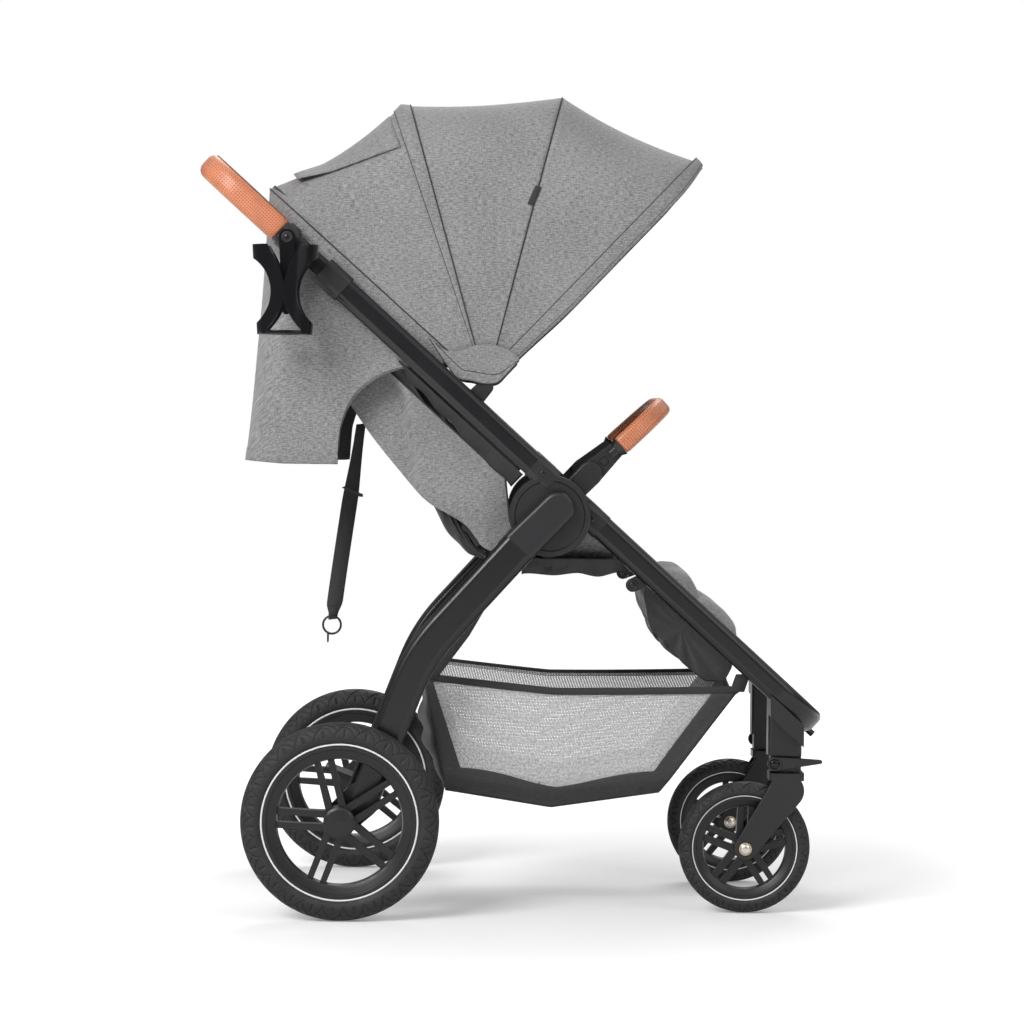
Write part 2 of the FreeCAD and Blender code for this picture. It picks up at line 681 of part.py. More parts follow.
# ---- swivel housings and forks -----------------------------------------------------------
def front_housing():
    """Moulded block under the frame tube that carries the swivel stem, with a narrower foot."""
    rear_x = STEM_X - HOUSING_LENGTH / 2
    front_x = STEM_X + HOUSING_LENGTH / 2
    top = on_frame(0, TUBE_OFFSET - TUBE_TALL / 2)

    def under_tube(x, rise):
        return x, top[1] - (x - top[0]) * math.tan(SLOPE) + rise

    half = HOUSING_WIDTH / 2
    block = plate([(rear_x, HOUSING_STEP_Z), (front_x, HOUSING_STEP_Z), under_tube(front_x, HOUSING_BITE),
                   under_tube(rear_x, HOUSING_BITE)], FRONT_WHEEL_Y - half, FRONT_WHEEL_Y + half)
    saddle = plate([under_tube(rear_x, -HOUSING_SADDLE), under_tube(front_x, -HOUSING_SADDLE),
                    under_tube(front_x, HOUSING_BITE), under_tube(rear_x, HOUSING_BITE)],
                   FRONT_WHEEL_Y, LOWER_OUTER_Y + 3)
    foot = plate([(rear_x + HOUSING_STEP, HOUSING_BOTTOM_Z), (front_x, HOUSING_BOTTOM_Z),
                  (front_x, HOUSING_STEP_Z), (rear_x + HOUSING_STEP, HOUSING_STEP_Z)],
                 FRONT_WHEEL_Y - half + HOUSING_STEP, FRONT_WHEEL_Y + half - HOUSING_STEP)
    pin = disc((LEVER_PIVOT_X, LEVER_PIVOT_Z), RECLINE_PIN_R, FRONT_WHEEL_Y,
               LEVER_Y + LEVER_THICK - SEAM)
    corners = [
        at(on_frame(COLLAR_END, TUBE_OFFSET), LOWER_TUBE_Y),
        at(on_frame(FRONT_BAR_S, TUBE_OFFSET), LOWER_TUBE_Y),
        at(on_frame(FRONT_BAR_S, TUBE_OFFSET), -LOWER_TUBE_Y),
    ]
    tube = sweep(bent_path(corners, FRONT_BEND_R),
                 oval(corners[0], frame_normal(), ACROSS, TUBE_TALL, TUBE_THIN))
    bore = Part.makeCylinder(STEM_R + RUNNING_FIT, STEM_LENGTH + SEAM,
                             vector(STEM_X, FRONT_WHEEL_Y, HOUSING_BOTTOM_Z - SEAM), UP)
    body = with_round_corners(block, HOUSING_CORNER_R)
    return body.fuse([saddle, with_round_corners(foot, HOUSING_CORNER_R), pin]).cut(tube).cut(bore)


def fork(y):
    """Swivel fork: stem and washer, crown, two tapering plates down to the axle, and its bolt."""
    inner = FRONT_TYRE_WIDTH / 2 + TYRE_GAP
    outer = inner + FORK_PLATE
    centre_x = STEM_X + FORK_CROWN_LEAD
    crown_at = (centre_x, FORK_CROWN_TOP_Z - FORK_CROWN_R)
    left = link(crown_at, FRONT_AXLE, FORK_CROWN_R, FORK_END_R, y + inner, y + outer)
    right = link(crown_at, FRONT_AXLE, FORK_CROWN_R, FORK_END_R, y - outer, y - inner)
    plates = [softened(left, y + outer, FORK_EDGE_R), softened(right, y - outer, FORK_EDGE_R)]
    crown = plate([(centre_x - FORK_CROWN_R, FORK_CROWN_TOP_Z), (centre_x + FORK_CROWN_R, FORK_CROWN_TOP_Z),
                   (centre_x + FORK_CROWN_R, FORK_CROWN_BOTTOM_Z),
                   (centre_x - FORK_CROWN_R, FORK_CROWN_BOTTOM_Z)], y - outer, y + outer)
    crown = with_round_corners(crown, FORK_PLATE)
    foot = vector(STEM_X, y, FORK_CROWN_TOP_Z - 1)
    stem = Part.makeCylinder(STEM_R, STEM_LENGTH, foot, UP)
    washer = Part.makeCylinder(FORK_WASHER_R, 1 + FORK_WASHER, foot, UP)
    bolt = disc(FRONT_AXLE, AXLE_R, y - outer - 2, y + outer + 2)
    return crown.fuse(plates + [stem, washer, bolt])


def swivel_lever():
    """Lever beside the housing that locks the wheel straight ahead."""
    pivot = (LEVER_PIVOT_X, LEVER_PIVOT_Z)
    lever = link(pivot, (LEVER_TIP_X, LEVER_TIP_Z), LEVER_HUB_R, LEVER_TIP_R, LEVER_Y, LEVER_Y + LEVER_THICK)
    lever = softened(lever, LEVER_Y + LEVER_THICK, LEVER_EDGE_R)
    return lever.cut(disc(pivot, RECLINE_PIN_R + RUNNING_FIT, LEVER_Y - 1, LEVER_Y + LEVER_THICK + 1))


# ---- seat --------------------------------------------------------------------------------
def seat_frame():
    """Rails under the seat with cross rods, held off the hinges and the lower tubes."""
    rear = from_hinge(SEAT_REAR_X + RAIL_R, SEAT_UNDERSIDE)
    front = from_hinge(SEAT_FRONT_X - 4 * RAIL_R, SEAT_UNDERSIDE - RAIL_R - SEAM)
    y = SEAT_HALF_WIDTH + RAIL_R + SOFT_GAP
    rail_z = front[1]
    rod = Part.makeCylinder(RAIL_R, 2 * y, vector(rear[0], -y, rail_z), ACROSS)
    rail = Part.makeCylinder(RAIL_R, front[0] - rear[0], vector(rear[0], y, rail_z), vector(1, 0, 0))
    front_rod = Part.makeCylinder(RAIL_R, 2 * y, vector(front[0], -y, rail_z), ACROSS)
    hang_at = (HINGE_X, HINGE_Z - HINGE_DISC_R + HANGER_INSET)
    hanger = link(hang_at, (HINGE_X, rail_z), HANGER_R, RAIL_R, y - 3, y + RAIL_R + 2)
    spacer = disc(hang_at, HANGER_R - 1, y, LOWER_INNER_Y)
    side = rail.fuse([hanger, spacer])
    return side.fuse([mirrored(side), rod, front_rod])


def seat_board():
    low = from_hinge(SEAT_REAR_X, SEAT_UNDERSIDE)
    high = from_hinge(SEAT_FRONT_X, SEAT_UNDERSIDE + SEAT_BOARD)
    return plate([low, (high[0], low[1]), high, (low[0], high[1])], -SEAT_HALF_WIDTH, SEAT_HALF_WIDTH)


def seat_cushion():
    """Cushion whose top falls to the back and whose front edge is rounded over."""
    low_z = HINGE_Z + SEAT_UNDERSIDE + SEAT_BOARD
    top_z = HINGE_Z + SEAT_TOP
    rear_x = HINGE_X + SEAT_REAR_X
    front_x = HINGE_X + SEAT_FRONT_X
    profile = [(rear_x, low_z), (front_x, low_z), (front_x + 8, low_z + 22), (front_x, top_z - 12),
               (front_x - 16, top_z), (rear_x + 22, top_z - 8), (rear_x, top_z - 26)]
    return plate(profile, -SEAT_HALF_WIDTH, SEAT_HALF_WIDTH)


def on_back(along, forward):
    """X, Z of a point on the backrest: along it from its foot, and forward of its board."""
    foot = from_hinge(BACK_FOOT_X, BACK_FOOT_Z)
    up = polar(foot, BACK_ANGLE, along)
    return polar(up, BACK_ANGLE - 90, forward)


def back_slab(a0, a1, f0, f1, half_width):
    corners = [on_back(a0, f0), on_back(a0, f1), on_back(a1, f1), on_back(a1, f0)]
    return plate(corners, -half_width, half_width)


def back_board():
    """Stiff back with an arm at each side that turns on the hinge's pin."""
    board = back_slab(0, BACK_LENGTH, 0, BACK_BOARD, BACK_HALF_WIDTH)
    pivot = from_hinge(RECLINE_PIVOT_X, RECLINE_PIVOT_Z)
    y0 = BACK_ARM_Y
    y1 = y0 + BACK_ARM
    arm = link(pivot, on_back(BACK_ARM_AT, BACK_BOARD + 1), 3 * RECLINE_PIN_R, 9, y0, y1)
    foot = disc(on_back(BACK_ARM_AT, BACK_BOARD + 1), 7, BACK_HALF_WIDTH - 30, y1)
    arm = arm.cut(disc(pivot, RECLINE_PIN_R + RUNNING_FIT, y0 - 1, y1 + 1)).fuse(foot)
    return board.fuse([arm, mirrored(arm)])


def back_pad():
    base = BACK_BOARD
    top = BACK_BOARD + BACK_PAD
    profile = [on_back(6, base), on_back(BACK_LENGTH, base), on_back(BACK_LENGTH, top - 12),
               on_back(BACK_LENGTH - 14, top), on_back(26, top), on_back(12, top - 12)]
    pad = plate(profile, -BACK_HALF_WIDTH, BACK_HALF_WIDTH)
    return pad.cut(disc(on_back(BACK_ARM_AT, BACK_BOARD + 1), 8, -LEG_Y, LEG_Y))


def shell_depth(along):
    """How far the fabric shell stands behind the back board: full low down, less at its top."""
    shoulder_at = BACK_LENGTH - SHELL_SHOULDER
    if along < SHELL_FULL_AT:
        share = (along - SHELL_START) / (SHELL_FULL_AT - SHELL_START)
        return SHELL_DEPTH * math.sin(share * math.pi / 2)
    if along < shoulder_at:
        share = (along - SHELL_FULL_AT) / (shoulder_at - SHELL_FULL_AT)
        return SHELL_DEPTH + (SHELL_SHOULDER_DEPTH - SHELL_DEPTH) * share
    share = (along - shoulder_at) / SHELL_SHOULDER
    return SHELL_SHOULDER_DEPTH + (SHELL_TOP_DEPTH - SHELL_SHOULDER_DEPTH) * share


def shell_outline():
    """Rear outline of the fabric shell behind the backrest, from its foot to its top."""
    step = (SHELL_FULL_AT - SHELL_START) / SHELL_STEPS
    stations = [SHELL_START + step * (k + 1) for k in range(SHELL_STEPS)]
    stations += [BACK_LENGTH - SHELL_SHOULDER, BACK_LENGTH]
    return [from_hinge(*SHELL_FOOT)] + [on_back(a, -shell_depth(a)) for a in stations]


def seat_shell():
    """Fabric cover stretched over the back of the seat, as a thin tray."""
    outer = shell_outline()
    front = [on_back(BACK_LENGTH, -SOFT_GAP), on_back(0, -SOFT_GAP)]
    tray = plate(outer + front, -BACK_HALF_WIDTH, BACK_HALF_WIDTH)
    inset = [(x + SHELL_SHEET * 1.2, z + SHELL_SHEET * 0.6) for x, z in outer]
    return tray.cut(plate(inset + [on_back(BACK_LENGTH + 9, 9), on_back(-9, 9)],
                          -BACK_HALF_WIDTH + SHELL_SHEET, BACK_HALF_WIDTH - SHELL_SHEET))


def side_panel():
    """Fabric gusset beside the backrest, hung from the upper tube by two short straps."""
    y0 = BACK_ARM_Y + BACK_ARM + SOFT_GAP
    y1 = y0 + PANEL_SHEET
    tube_n = TUBE_OFFSET - TUBE_TALL / 2
    edge_n = tube_n - PANEL_DROP
    outline = shell_outline()[1:] + [
        on_frame(PANEL_TOP_S, edge_n), on_frame(-HINGE_DISC_R - PANEL_DROP, edge_n), from_hinge(-62, -20),
    ]
    panel = plate(outline, y0, y1)
    for s in PANEL_STRAPS_S:
        ends = (s - STRAP_WIDTH / 2, s + STRAP_WIDTH / 2)
        top_n = tube_n + 3 * PANEL_SHEET
        tongue = plate([on_frame(ends[0], edge_n - 9), on_frame(ends[1], edge_n - 9),
                        on_frame(ends[1], top_n), on_frame(ends[0], top_n)], y0, y1)
        bridge = plate([on_frame(ends[0], top_n - PANEL_SHEET), on_frame(ends[1], top_n - PANEL_SHEET),
                        on_frame(ends[1], top_n), on_frame(ends[0], top_n)], y0, UPPER_TUBE_Y)
        panel = panel.fuse([tongue, bridge])
    tube = straight_tube(-COLLAR_END, -OUTER_TUBE_END, UPPER_TUBE_Y,
                         TUBE_TALL + SEAM, TUBE_THIN + SEAM, 0)
    return panel.cut(tube)


def shoulder_straps():
    """Pair of padded harness straps down the back pad."""
    front = BACK_BOARD + BACK_PAD + SEAM
    corners = [on_back(95, front), on_back(95, front + 5), on_back(330, front + 5), on_back(330, front)]
    return pair(plate(corners, 36, 72))


def harness_buckle():
    """Buckle on the crotch strap, lying on the seat."""
    top_z = HINGE_Z + SEAT_TOP + SEAM
    centre_x = HINGE_X + SEAT_FRONT_X - 62
    strap = plate([(centre_x, top_z), (centre_x + 42, top_z), (centre_x + 42, top_z + 4),
                   (centre_x, top_z + 4)], -19, 19)
    buckle = Part.makeBox(44, 52, 14, vector(centre_x - 30, -26, top_z))
    return strap.fuse(buckle.makeFillet(5, buckle.Edges))


# ---- calf rest ---------------------------------------------------------------------------
def calf_board():
    """Stiff calf support under a loose dark cover, hinged below the front of the seat."""
    pivot = on_frame(CALF_PIVOT_S, CALF_PIVOT_N)
    y = -CALF_HALF_WIDTH
    heel = at(on_frame(CALF_START_S + CALF_HEEL, CALF_HEEL_N), y)
    top_rear = at(on_frame(CALF_START_S, CALF_BOARD_TOP_N), y)
    top_front = at(on_frame(CALF_END_S, CALF_BOARD_TOP_N), y)
    toe = at(on_frame(CALF_END_S + CALF_TOE, CALF_TOE_N), y)
    under_toe = at(on_frame(CALF_END_S - 2, CALF_BELLY_N + 2), y)
    belly = at(on_frame(CALF_BELLY_S, CALF_BELLY_N), y)
    edges = [
        Part.makeLine(heel, top_rear),
        Part.makeLine(top_rear, top_front),
        Part.makeLine(top_front, toe),
        Part.makeLine(toe, under_toe),
        Part.Arc(under_toe, belly, heel).toShape(),
    ]
    board = Part.Face(Part.Wire(edges)).extrude(ACROSS * (2 * CALF_HALF_WIDTH))
    ear = link(pivot, on_frame(CALF_START_S + 26, 14), 9, 9, CALF_HALF_WIDTH - 8, CALF_HALF_WIDTH)
    ear = ear.cut(disc(pivot, RECLINE_PIN_R + RUNNING_FIT, CALF_HALF_WIDTH - 9, CALF_HALF_WIDTH + 1))
    return board.fuse([ear, mirrored(ear)])


def calf_pad():
    """Two-lobed pad on the calf rest."""
    middle_s = CALF_START_S + 76
    end_s = CALF_END_S - 4
    y = -CALF_HALF_WIDTH
    rear_low = at(on_frame(CALF_START_S, CALF_BOARD_TOP_N), y)
    rear_high = at(on_frame(CALF_START_S, CALF_PAD_TOP_N - 8), y)
    first_top = at(on_frame((CALF_START_S + middle_s) / 2, CALF_PAD_TOP_N + CALF_PAD_BULGE), y)
    valley = at(on_frame(middle_s, CALF_PAD_TOP_N - 4), y)
    second_top = at(on_frame((middle_s + end_s) / 2, CALF_PAD_TOP_N + 1), y)
    front_high = at(on_frame(end_s, CALF_PAD_TOP_N - 14), y)
    front_low = at(on_frame(end_s, CALF_BOARD_TOP_N), y)
    edges = [
        Part.makeLine(front_low, rear_low),
        Part.makeLine(rear_low, rear_high),
        Part.Arc(rear_high, first_top, valley).toShape(),
        Part.Arc(valley, second_top, front_high).toShape(),
        Part.makeLine(front_high, front_low),
    ]
    return Part.Face(Part.Wire(edges)).extrude(ACROSS * (2 * CALF_HALF_WIDTH))


def calf_bracket():
    """Plate under the lower tube with the pin of the calf rest."""
    pivot = on_frame(CALF_PIVOT_S, CALF_PIVOT_N)
    y1 = LOWER_INNER_Y
    arm = link(pivot, on_frame(CALF_PIVOT_S + 14, TUBE_OFFSET), 10, 12, y1 - 6, y1)
    pin = disc(pivot, RECLINE_PIN_R, CALF_HALF_WIDTH - 12, y1 - 1)
    return arm.fuse(pin)


# ---- bumper bar --------------------------------------------------------------------------
def bumper_direction():
    angle = math.radians(BUMPER_RISE)
    return vector(math.cos(angle), 0, math.sin(angle))


def bumper_normal():
    along = bumper_direction()
    return vector(-along.z, 0, along.x)


def bumper_route(start):
    along = bumper_direction()
    hub = at(BUMPER_HUB, 0)
    side = ACROSS * BUMPER_Y
    corners = [hub + along * start - side, hub + along * BUMPER_REACH - side,
               hub + along * BUMPER_REACH + side, hub + along * start + side]
    return bent_path(corners, BUMPER_BEND_R), corners[0]


def bumper_sweep(start, tall, thin):
    path, corner = bumper_route(start)
    return sweep(path, oval(corner, bumper_normal(), ACROSS, tall, thin))


def bumper_core(start):
    """Inner tube of the bumper bar, which its cover is drawn over."""
    return bumper_sweep(start, BUMPER_ARM_TALL - BUMPER_CORE_INSET, BUMPER_ARM_THIN - BUMPER_CORE_INSET + 2)


def bumper_arm_end():
    """Hub end of a bumper arm."""
    reach = polar(BUMPER_HUB, BUMPER_RISE, BUMPER_GRIP_START - SEAM - BUMPER_ARM_TALL / 2)
    y0 = BUMPER_Y - BUMPER_ARM_THIN / 2
    arm = link(BUMPER_HUB, reach, BUMPER_HUB_R, BUMPER_ARM_TALL / 2, y0, BUMPER_Y)
    return arm.cut(disc(BUMPER_HUB, RECLINE_PIN_R + RUNNING_FIT, y0 - 1, BUMPER_Y + 1))


def bumper_bell():
    """Collar that flares from the arm end to a lip round the end of the cover."""
    middle = at(BUMPER_HUB, BUMPER_Y)
    lip_at = middle + bumper_direction() * (BUMPER_GRIP_START - SEAM)
    neck_at = lip_at - bumper_direction() * BELL_LENGTH
    neck = oval(neck_at, bumper_normal(), ACROSS, BUMPER_ARM_TALL - 2 * BELL_FLARE,
                BUMPER_ARM_THIN - 4 * BELL_FLARE)
    lip = oval(lip_at, bumper_normal(), ACROSS, BUMPER_ARM_TALL + 2 * (BUMPER_GRIP_WALL + BELL_FLARE),
               BUMPER_ARM_THIN + 2 * BELL_FLARE)
    return Part.makeLoft([neck, lip], True, True)


def bumper_bar():
    """Curved inner tube of the bumper bar with its two arm ends and their flared collars."""
    end = bumper_arm_end()
    bell = bumper_bell()
    core = bumper_core(BUMPER_GRIP_START - 20)
    whole = core.fuse([end, bell, mirrored(end), mirrored(bell)])
    slot = button_block(SEAM)
    return whole.cut(slot).cut(mirrored(slot))


def bumper_grip():
    outer = bumper_sweep(BUMPER_GRIP_START, BUMPER_ARM_TALL + 2 * BUMPER_GRIP_WALL, BUMPER_ARM_THIN)
    return outer.cut(bumper_core(BUMPER_GRIP_START))


def button_block(grow):
    """Square release button, or its slot when it is grown by the clearance."""
    centre = polar(BUMPER_HUB, BUMPER_RISE, BUTTON_AT)
    half = BUTTON_HALF + grow
    corners = [polar(polar(centre, BUMPER_RISE, a * half), BUMPER_RISE + 90, b * half)
               for a, b in ((-1, -1), (1, -1), (1, 1), (-1, 1))]
    depth = BUTTON_DEPTH + (BUTTON_TRAVEL + grow if grow else 0)
    return plate(corners, BUMPER_Y - depth, BUMPER_Y + BUTTON_PROUD)


def bumper_mount():
    """Bracket on the inner face of the lower hinge half that holds the bumper bar's pivot."""
    y0 = BUMPER_Y + SEAM
    root = polar(HINGE, 46, HINGE_DISC_R - 16)
    arm = link(root, BUMPER_HUB, MOUNT_ROOT_R, BUMPER_HUB_R, y0, LOWER_INNER_Y)
    arm = softened(arm, LOWER_INNER_Y, MOUNT_EDGE_R)
    pin = disc(BUMPER_HUB, RECLINE_PIN_R, BUMPER_Y - BUMPER_ARM_THIN / 2, y0 + 1)
    return arm.fuse(pin)


# ---- canopy ------------------------------------------------------------------------------
def canopy_clip():
    """Bracket on the inner face of the upper tube with the pin of the canopy bows."""
    foot = on_frame(-CANOPY_PIVOT_S, TUBE_OFFSET)
    arm = link(foot, CANOPY_PIVOT, 14, BOW_EYE_R, BACK_BOW_Y + SEAM, UPPER_INNER_Y)
    pin = disc(CANOPY_PIVOT, CANOPY_PIN_R, BACK_BOW_Y - 4 * BOW_LAYER, BACK_BOW_Y + 2 * SEAM)
    return arm.fuse(pin)


def bow(bow_line, layer):
    """Flat strip bent to an arch, with an eye at each end on the canopy pin."""
    degrees, length = bow_line
    outer_y = BACK_BOW_Y - layer * BOW_LAYER
    angle = math.radians(degrees)
    along = vector(math.cos(angle), 0, math.sin(angle))
    square = vector(-along.z, 0, along.x)
    centre_y = outer_y - BOW_THICK / 2
    base = at(CANOPY_PIVOT, 0)
    top = length - CANOPY_SHEET - CLOTH_LIFT - BOW_THICK / 2
    corners = [base - ACROSS * centre_y, base + along * top - ACROSS * centre_y,
               base + along * top + ACROSS * centre_y, base + ACROSS * centre_y]
    path = bent_path(corners, BOW_CORNER_R)
    half_strip = square * (BOW_STRIP / 2)
    half_thick = ACROSS * (BOW_THICK / 2)
    start = corners[0]
    section = Part.makePolygon([start - half_strip - half_thick, start + half_strip - half_thick,
                                start + half_strip + half_thick, start - half_strip + half_thick,
                                start - half_strip - half_thick])
    eye = disc(CANOPY_PIVOT, BOW_EYE_R, outer_y - BOW_THICK, outer_y)
    hole = disc(CANOPY_PIVOT, CANOPY_PIN_R + RUNNING_FIT, -UPPER_TUBE_Y, UPPER_TUBE_Y)
    return sweep(path, section).fuse([eye, mirrored(eye)]).cut(hole)


def bow_profile(bow_line, layer, inset, lowest):
    """Closed arch outline of the cloth in one bow's plane."""
    degrees, length = bow_line
    half = BACK_BOW_Y - layer * BOW_LAYER + CLOTH_LIFT + CANOPY_SHEET - inset
    angle = math.radians(degrees)
    along = vector(math.cos(angle), 0, math.sin(angle))
    base = at(CANOPY_PIVOT, 0)
    top = length - inset
    radius = BOW_CORNER_R + CLOTH_LIFT + CANOPY_SHEET + BOW_THICK / 2 - inset
    corners = [base + along * lowest - ACROSS * half, base + along * top - ACROSS * half,
               base + along * top + ACROSS * half, base + along * lowest + ACROSS * half]
    arch = bent_path(corners, radius)
    return Part.Wire(arch.Edges + [Part.makeLine(corners[-1], corners[0])])


def canopy_panel(rear_line, rear_layer, front_line, front_layer):
    """Taut cloth between two bows."""
    shaved = SEAM / 8
    rear = (rear_line[0] - shaved, rear_line[1])
    front = (front_line[0] + shaved, front_line[1])
    outer = Part.makeLoft([bow_profile(rear, rear_layer, 0, CANOPY_START_R),
                           bow_profile(front, front_layer, 0, CANOPY_START_R)], True, True)
    inner = Part.makeLoft([bow_profile(rear, rear_layer, CANOPY_SHEET, CANOPY_START_R - 9),
                           bow_profile(front, front_layer, CANOPY_SHEET, CANOPY_START_R - 9)], True, True)
    return outer.cut(inner)


def rear_drape():
    """Cloth that hangs from the back bow behind the seat, with a curved front edge."""
    inset = CLOTH_LIFT + CANOPY_SHEET + BOW_THICK + SEAM
    half = BACK_BOW_Y - BOW_THICK - SEAM
    corner = polar(CANOPY_PIVOT, BACK_BOW[0], BACK_BOW[1])
    top = (corner[0] + DRAPE_TOP_INSET[0], corner[1] - DRAPE_TOP_INSET[1])
    bottom = (CANOPY_PIVOT[0] - DRAPE_BACK, CANOPY_PIVOT[1] - DRAPE_DROP)
    hem = (CANOPY_PIVOT[0] - DRAPE_HEM, CANOPY_PIVOT[1] - DRAPE_HEM_DROP)
    curve = (CANOPY_PIVOT[0] - DRAPE_CURVE, CANOPY_PIVOT[1] - DRAPE_CURVE_DROP)
    side_top = polar(CANOPY_PIVOT, BACK_BOW[0] + DRAPE_SIDE_TURN, DRAPE_SIDE_R)
    outline = [
        Part.makeLine(at(top, -half), at(bottom, -half)),
        Part.makeLine(at(bottom, -half), at(hem, -half)),
        Part.Arc(at(hem, -half), at(curve, -half), at(side_top, -half)).toShape(),
        Part.makeLine(at(side_top, -half), at(top, -half)),
    ]
    block = Part.Face(Part.Wire(outline)).extrude(ACROSS * (2 * half))
    room_bottom = hem[1] - CANOPY_SHEET
    room_top = top[1] + CANOPY_SHEET
    lean = (top[0] - bottom[0]) / (top[1] - bottom[1])
    back = bottom[0] + 1.4 * CANOPY_SHEET
    room = plate([(back - lean * (bottom[1] - room_bottom), room_bottom), (HINGE_X, room_bottom),
                  (HINGE_X, room_top), (back + lean * (room_top - bottom[1]), room_top)],
                 -half + CANOPY_SHEET, half - CANOPY_SHEET)
    bow_angle = math.radians(BACK_BOW[0])
    fall = vector(-math.sin(bow_angle), 0, math.cos(bow_angle)) * BACK_BOW[1]
    arch = Part.Face(bow_profile(BACK_BOW, 0, inset, CANOPY_START_R)).extrude(fall)
    arch_room = Part.Face(bow_profile(BACK_BOW, 0, inset + CANOPY_SHEET, CANOPY_START_R)).extrude(fall)
    return block.common(arch).cut(room.common(arch_room))


# ---- recline strap -----------------------------------------------------------------------
def strap_top():
    """Middle of the strap's sewn top edge, whose front corner lies on the fabric shell."""
    corner = on_back(STRAP_ANCHOR_AT, -shell_depth(STRAP_ANCHOR_AT) - SEAM / 2)
    return corner[0] - STRAP_TAB / 2, corner[1]


def from_strap(offset):
    top = strap_top()
    return top[0] + offset[0], top[1] + offset[1]


def ring(centre, radius, wire_r, turn):
    """Wire ring in the side view, turned about its upright axis."""
    loop = Part.makeTorus(radius, wire_r, ORIGIN, ACROSS)
    loop.rotate(ORIGIN, UP, turn)
    loop.translate(at(centre, 0))
    return loop


def recline_strap():
    """Flat webbing that hangs from the back of the seat and is sewn round the pull ring."""
    half = STRAP_WIDTH / 2
    tab = STRAP_TAB / 2
    top = strap_top()
    middle = from_strap(STRAP_MIDDLE)
    end = from_strap(STRAP_END)
    ring_at = from_strap(RING_AT)
    sewn_edges = [(ring_at[0] + tab, end[1] - tab), (ring_at[0] + tab, ring_at[1] + tab),
                  (ring_at[0] - tab, ring_at[1] + tab), (ring_at[0] - tab, end[1] - tab)]
    front = [(top[0] + tab, top[1]), (middle[0] + half, middle[1]), (end[0] + half, end[1])]
    rear = [(end[0] - half, end[1]), (middle[0] - half, middle[1]), (top[0] - tab, top[1])]
    outline = front + sewn_edges + rear
    webbing = plate(outline, -STRAP_THICK / 2, STRAP_THICK / 2)
    sewn = plate(sewn_edges, -RING_WIRE_R - STRAP_THICK, RING_WIRE_R + STRAP_THICK)
    room = ring(ring_at, RING_R, RING_WIRE_R + SEAM / 2, 0)
    return webbing.fuse(sewn).cut(room)


def strap_fittings():
    """Slider on the strap and the two pull rings below it."""
    x, z = from_strap(SLIDER_AT)
    half = STRAP_WIDTH / 2 + 4
    slider = plate([(x - half, z + 6), (x - half + 5, z + 8), (x + half, z - 4), (x + half, z - 8),
                    (x + half - 5, z - 8)], -STRAP_THICK, STRAP_THICK)
    slot = plate([(x - half, z + 20), (x + half, z + 20), (x + half, z - 20), (x - half, z - 20)],
                 -STRAP_THICK / 2 - SEAM / 2, STRAP_THICK / 2 + SEAM / 2)
    slot = slot.common(plate([(x - STRAP_WIDTH / 2 - 2, z + 20), (x + STRAP_WIDTH / 2 + 2, z + 20),
                              (x + STRAP_WIDTH / 2 + 2, z - 20), (x - STRAP_WIDTH / 2 - 2, z - 20)],
                             -STRAP_THICK, STRAP_THICK))
    large = ring(from_strap(RING_AT), RING_R, RING_WIRE_R, 0)
    small = ring(from_strap(SMALL_RING_AT), SMALL_RING_R, RING_WIRE_R - SEAM, 90)
    return Part.makeCompound([slider.cut(slot), large, small])


# ---- basket ------------------------------------------------------------------------------
def basket_outline():
    return [(BASKET_REAR_X, BASKET_RIM_REAR_Z), (BASKET_FLOOR_REAR_X, BASKET_FLOOR_END_Z),
            (BASKET_FLOOR_MID_X, BASKET_FLOOR_MID_Z), (BASKET_FLOOR_FRONT_X, BASKET_FLOOR_END_Z),
            (BASKET_FRONT_X, BASKET_RIM_FRONT_Z), (BASKET_FLOOR_MID_X, BASKET_RIM_MID_Z)]


def basket():
    """Open-topped mesh basket."""
    half = BASKET_HALF_WIDTH
    outer = plate(basket_outline(), -half, half)
    rear, rear_floor, mid_floor, front_floor, front, rim = basket_outline()
    t = BASKET_SHEET
    room = plate([(rear[0] + t, rear[1] + 9), (rear_floor[0] + t, rear_floor[1] + t),
                  (mid_floor[0], mid_floor[1] + t), (front_floor[0] - t, front_floor[1] + t),
                  (front[0] - 1.6 * t, front[1] + 9), (rim[0], rim[1] + 9)], -half + t, half - t)
    return outer.cut(room)


def basket_rim():
    """Rim cord of the basket, held by straps off the seat rails and the lower tubes."""
    y = BASKET_HALF_WIDTH + BASKET_RIM_R + SEAM
    z_off = BASKET_RIM_R
    points = [(BASKET_REAR_X, BASKET_RIM_REAR_Z - z_off), (BASKET_FLOOR_MID_X, BASKET_RIM_MID_Z - z_off),
              (BASKET_FRONT_X, BASKET_RIM_FRONT_Z - z_off)]
    rails = []
    for p, q in zip(points, points[1:]):
        run = at(q, y) - at(p, y)
        rails.append(Part.makeCylinder(BASKET_RIM_R, run.Length, at(p, y), run))
        rails.append(Part.makeSphere(BASKET_RIM_R, at(q, y)))
    side = rails[0].fuse(rails[1:])
    strap_top = (BASKET_REAR_X + 60, HINGE_Z + SEAT_UNDERSIDE - 2 * RAIL_R)
    strap = plate([(BASKET_REAR_X + 1, BASKET_RIM_REAR_Z - 6), (BASKET_REAR_X + 19, BASKET_RIM_REAR_Z - 6),
                   (strap_top[0] + 70, strap_top[1]), (strap_top[0] + 52, strap_top[1])], y - 1, y + 1)
    hook_s = on_frame(372, TUBE_OFFSET - TUBE_TALL / 2 - SEAM)
    hook = link((BASKET_FRONT_X, BASKET_RIM_FRONT_Z - z_off), hook_s, 6, 4, y - 2, y + 20)
    tube = straight_tube(COLLAR_END, FRONT_BAR_S, LOWER_TUBE_Y, TUBE_TALL + 2 * SEAM, TUBE_THIN + 2 * SEAM, 0)
    side = side.fuse([strap, hook.cut(tube)])
    return pair(side)


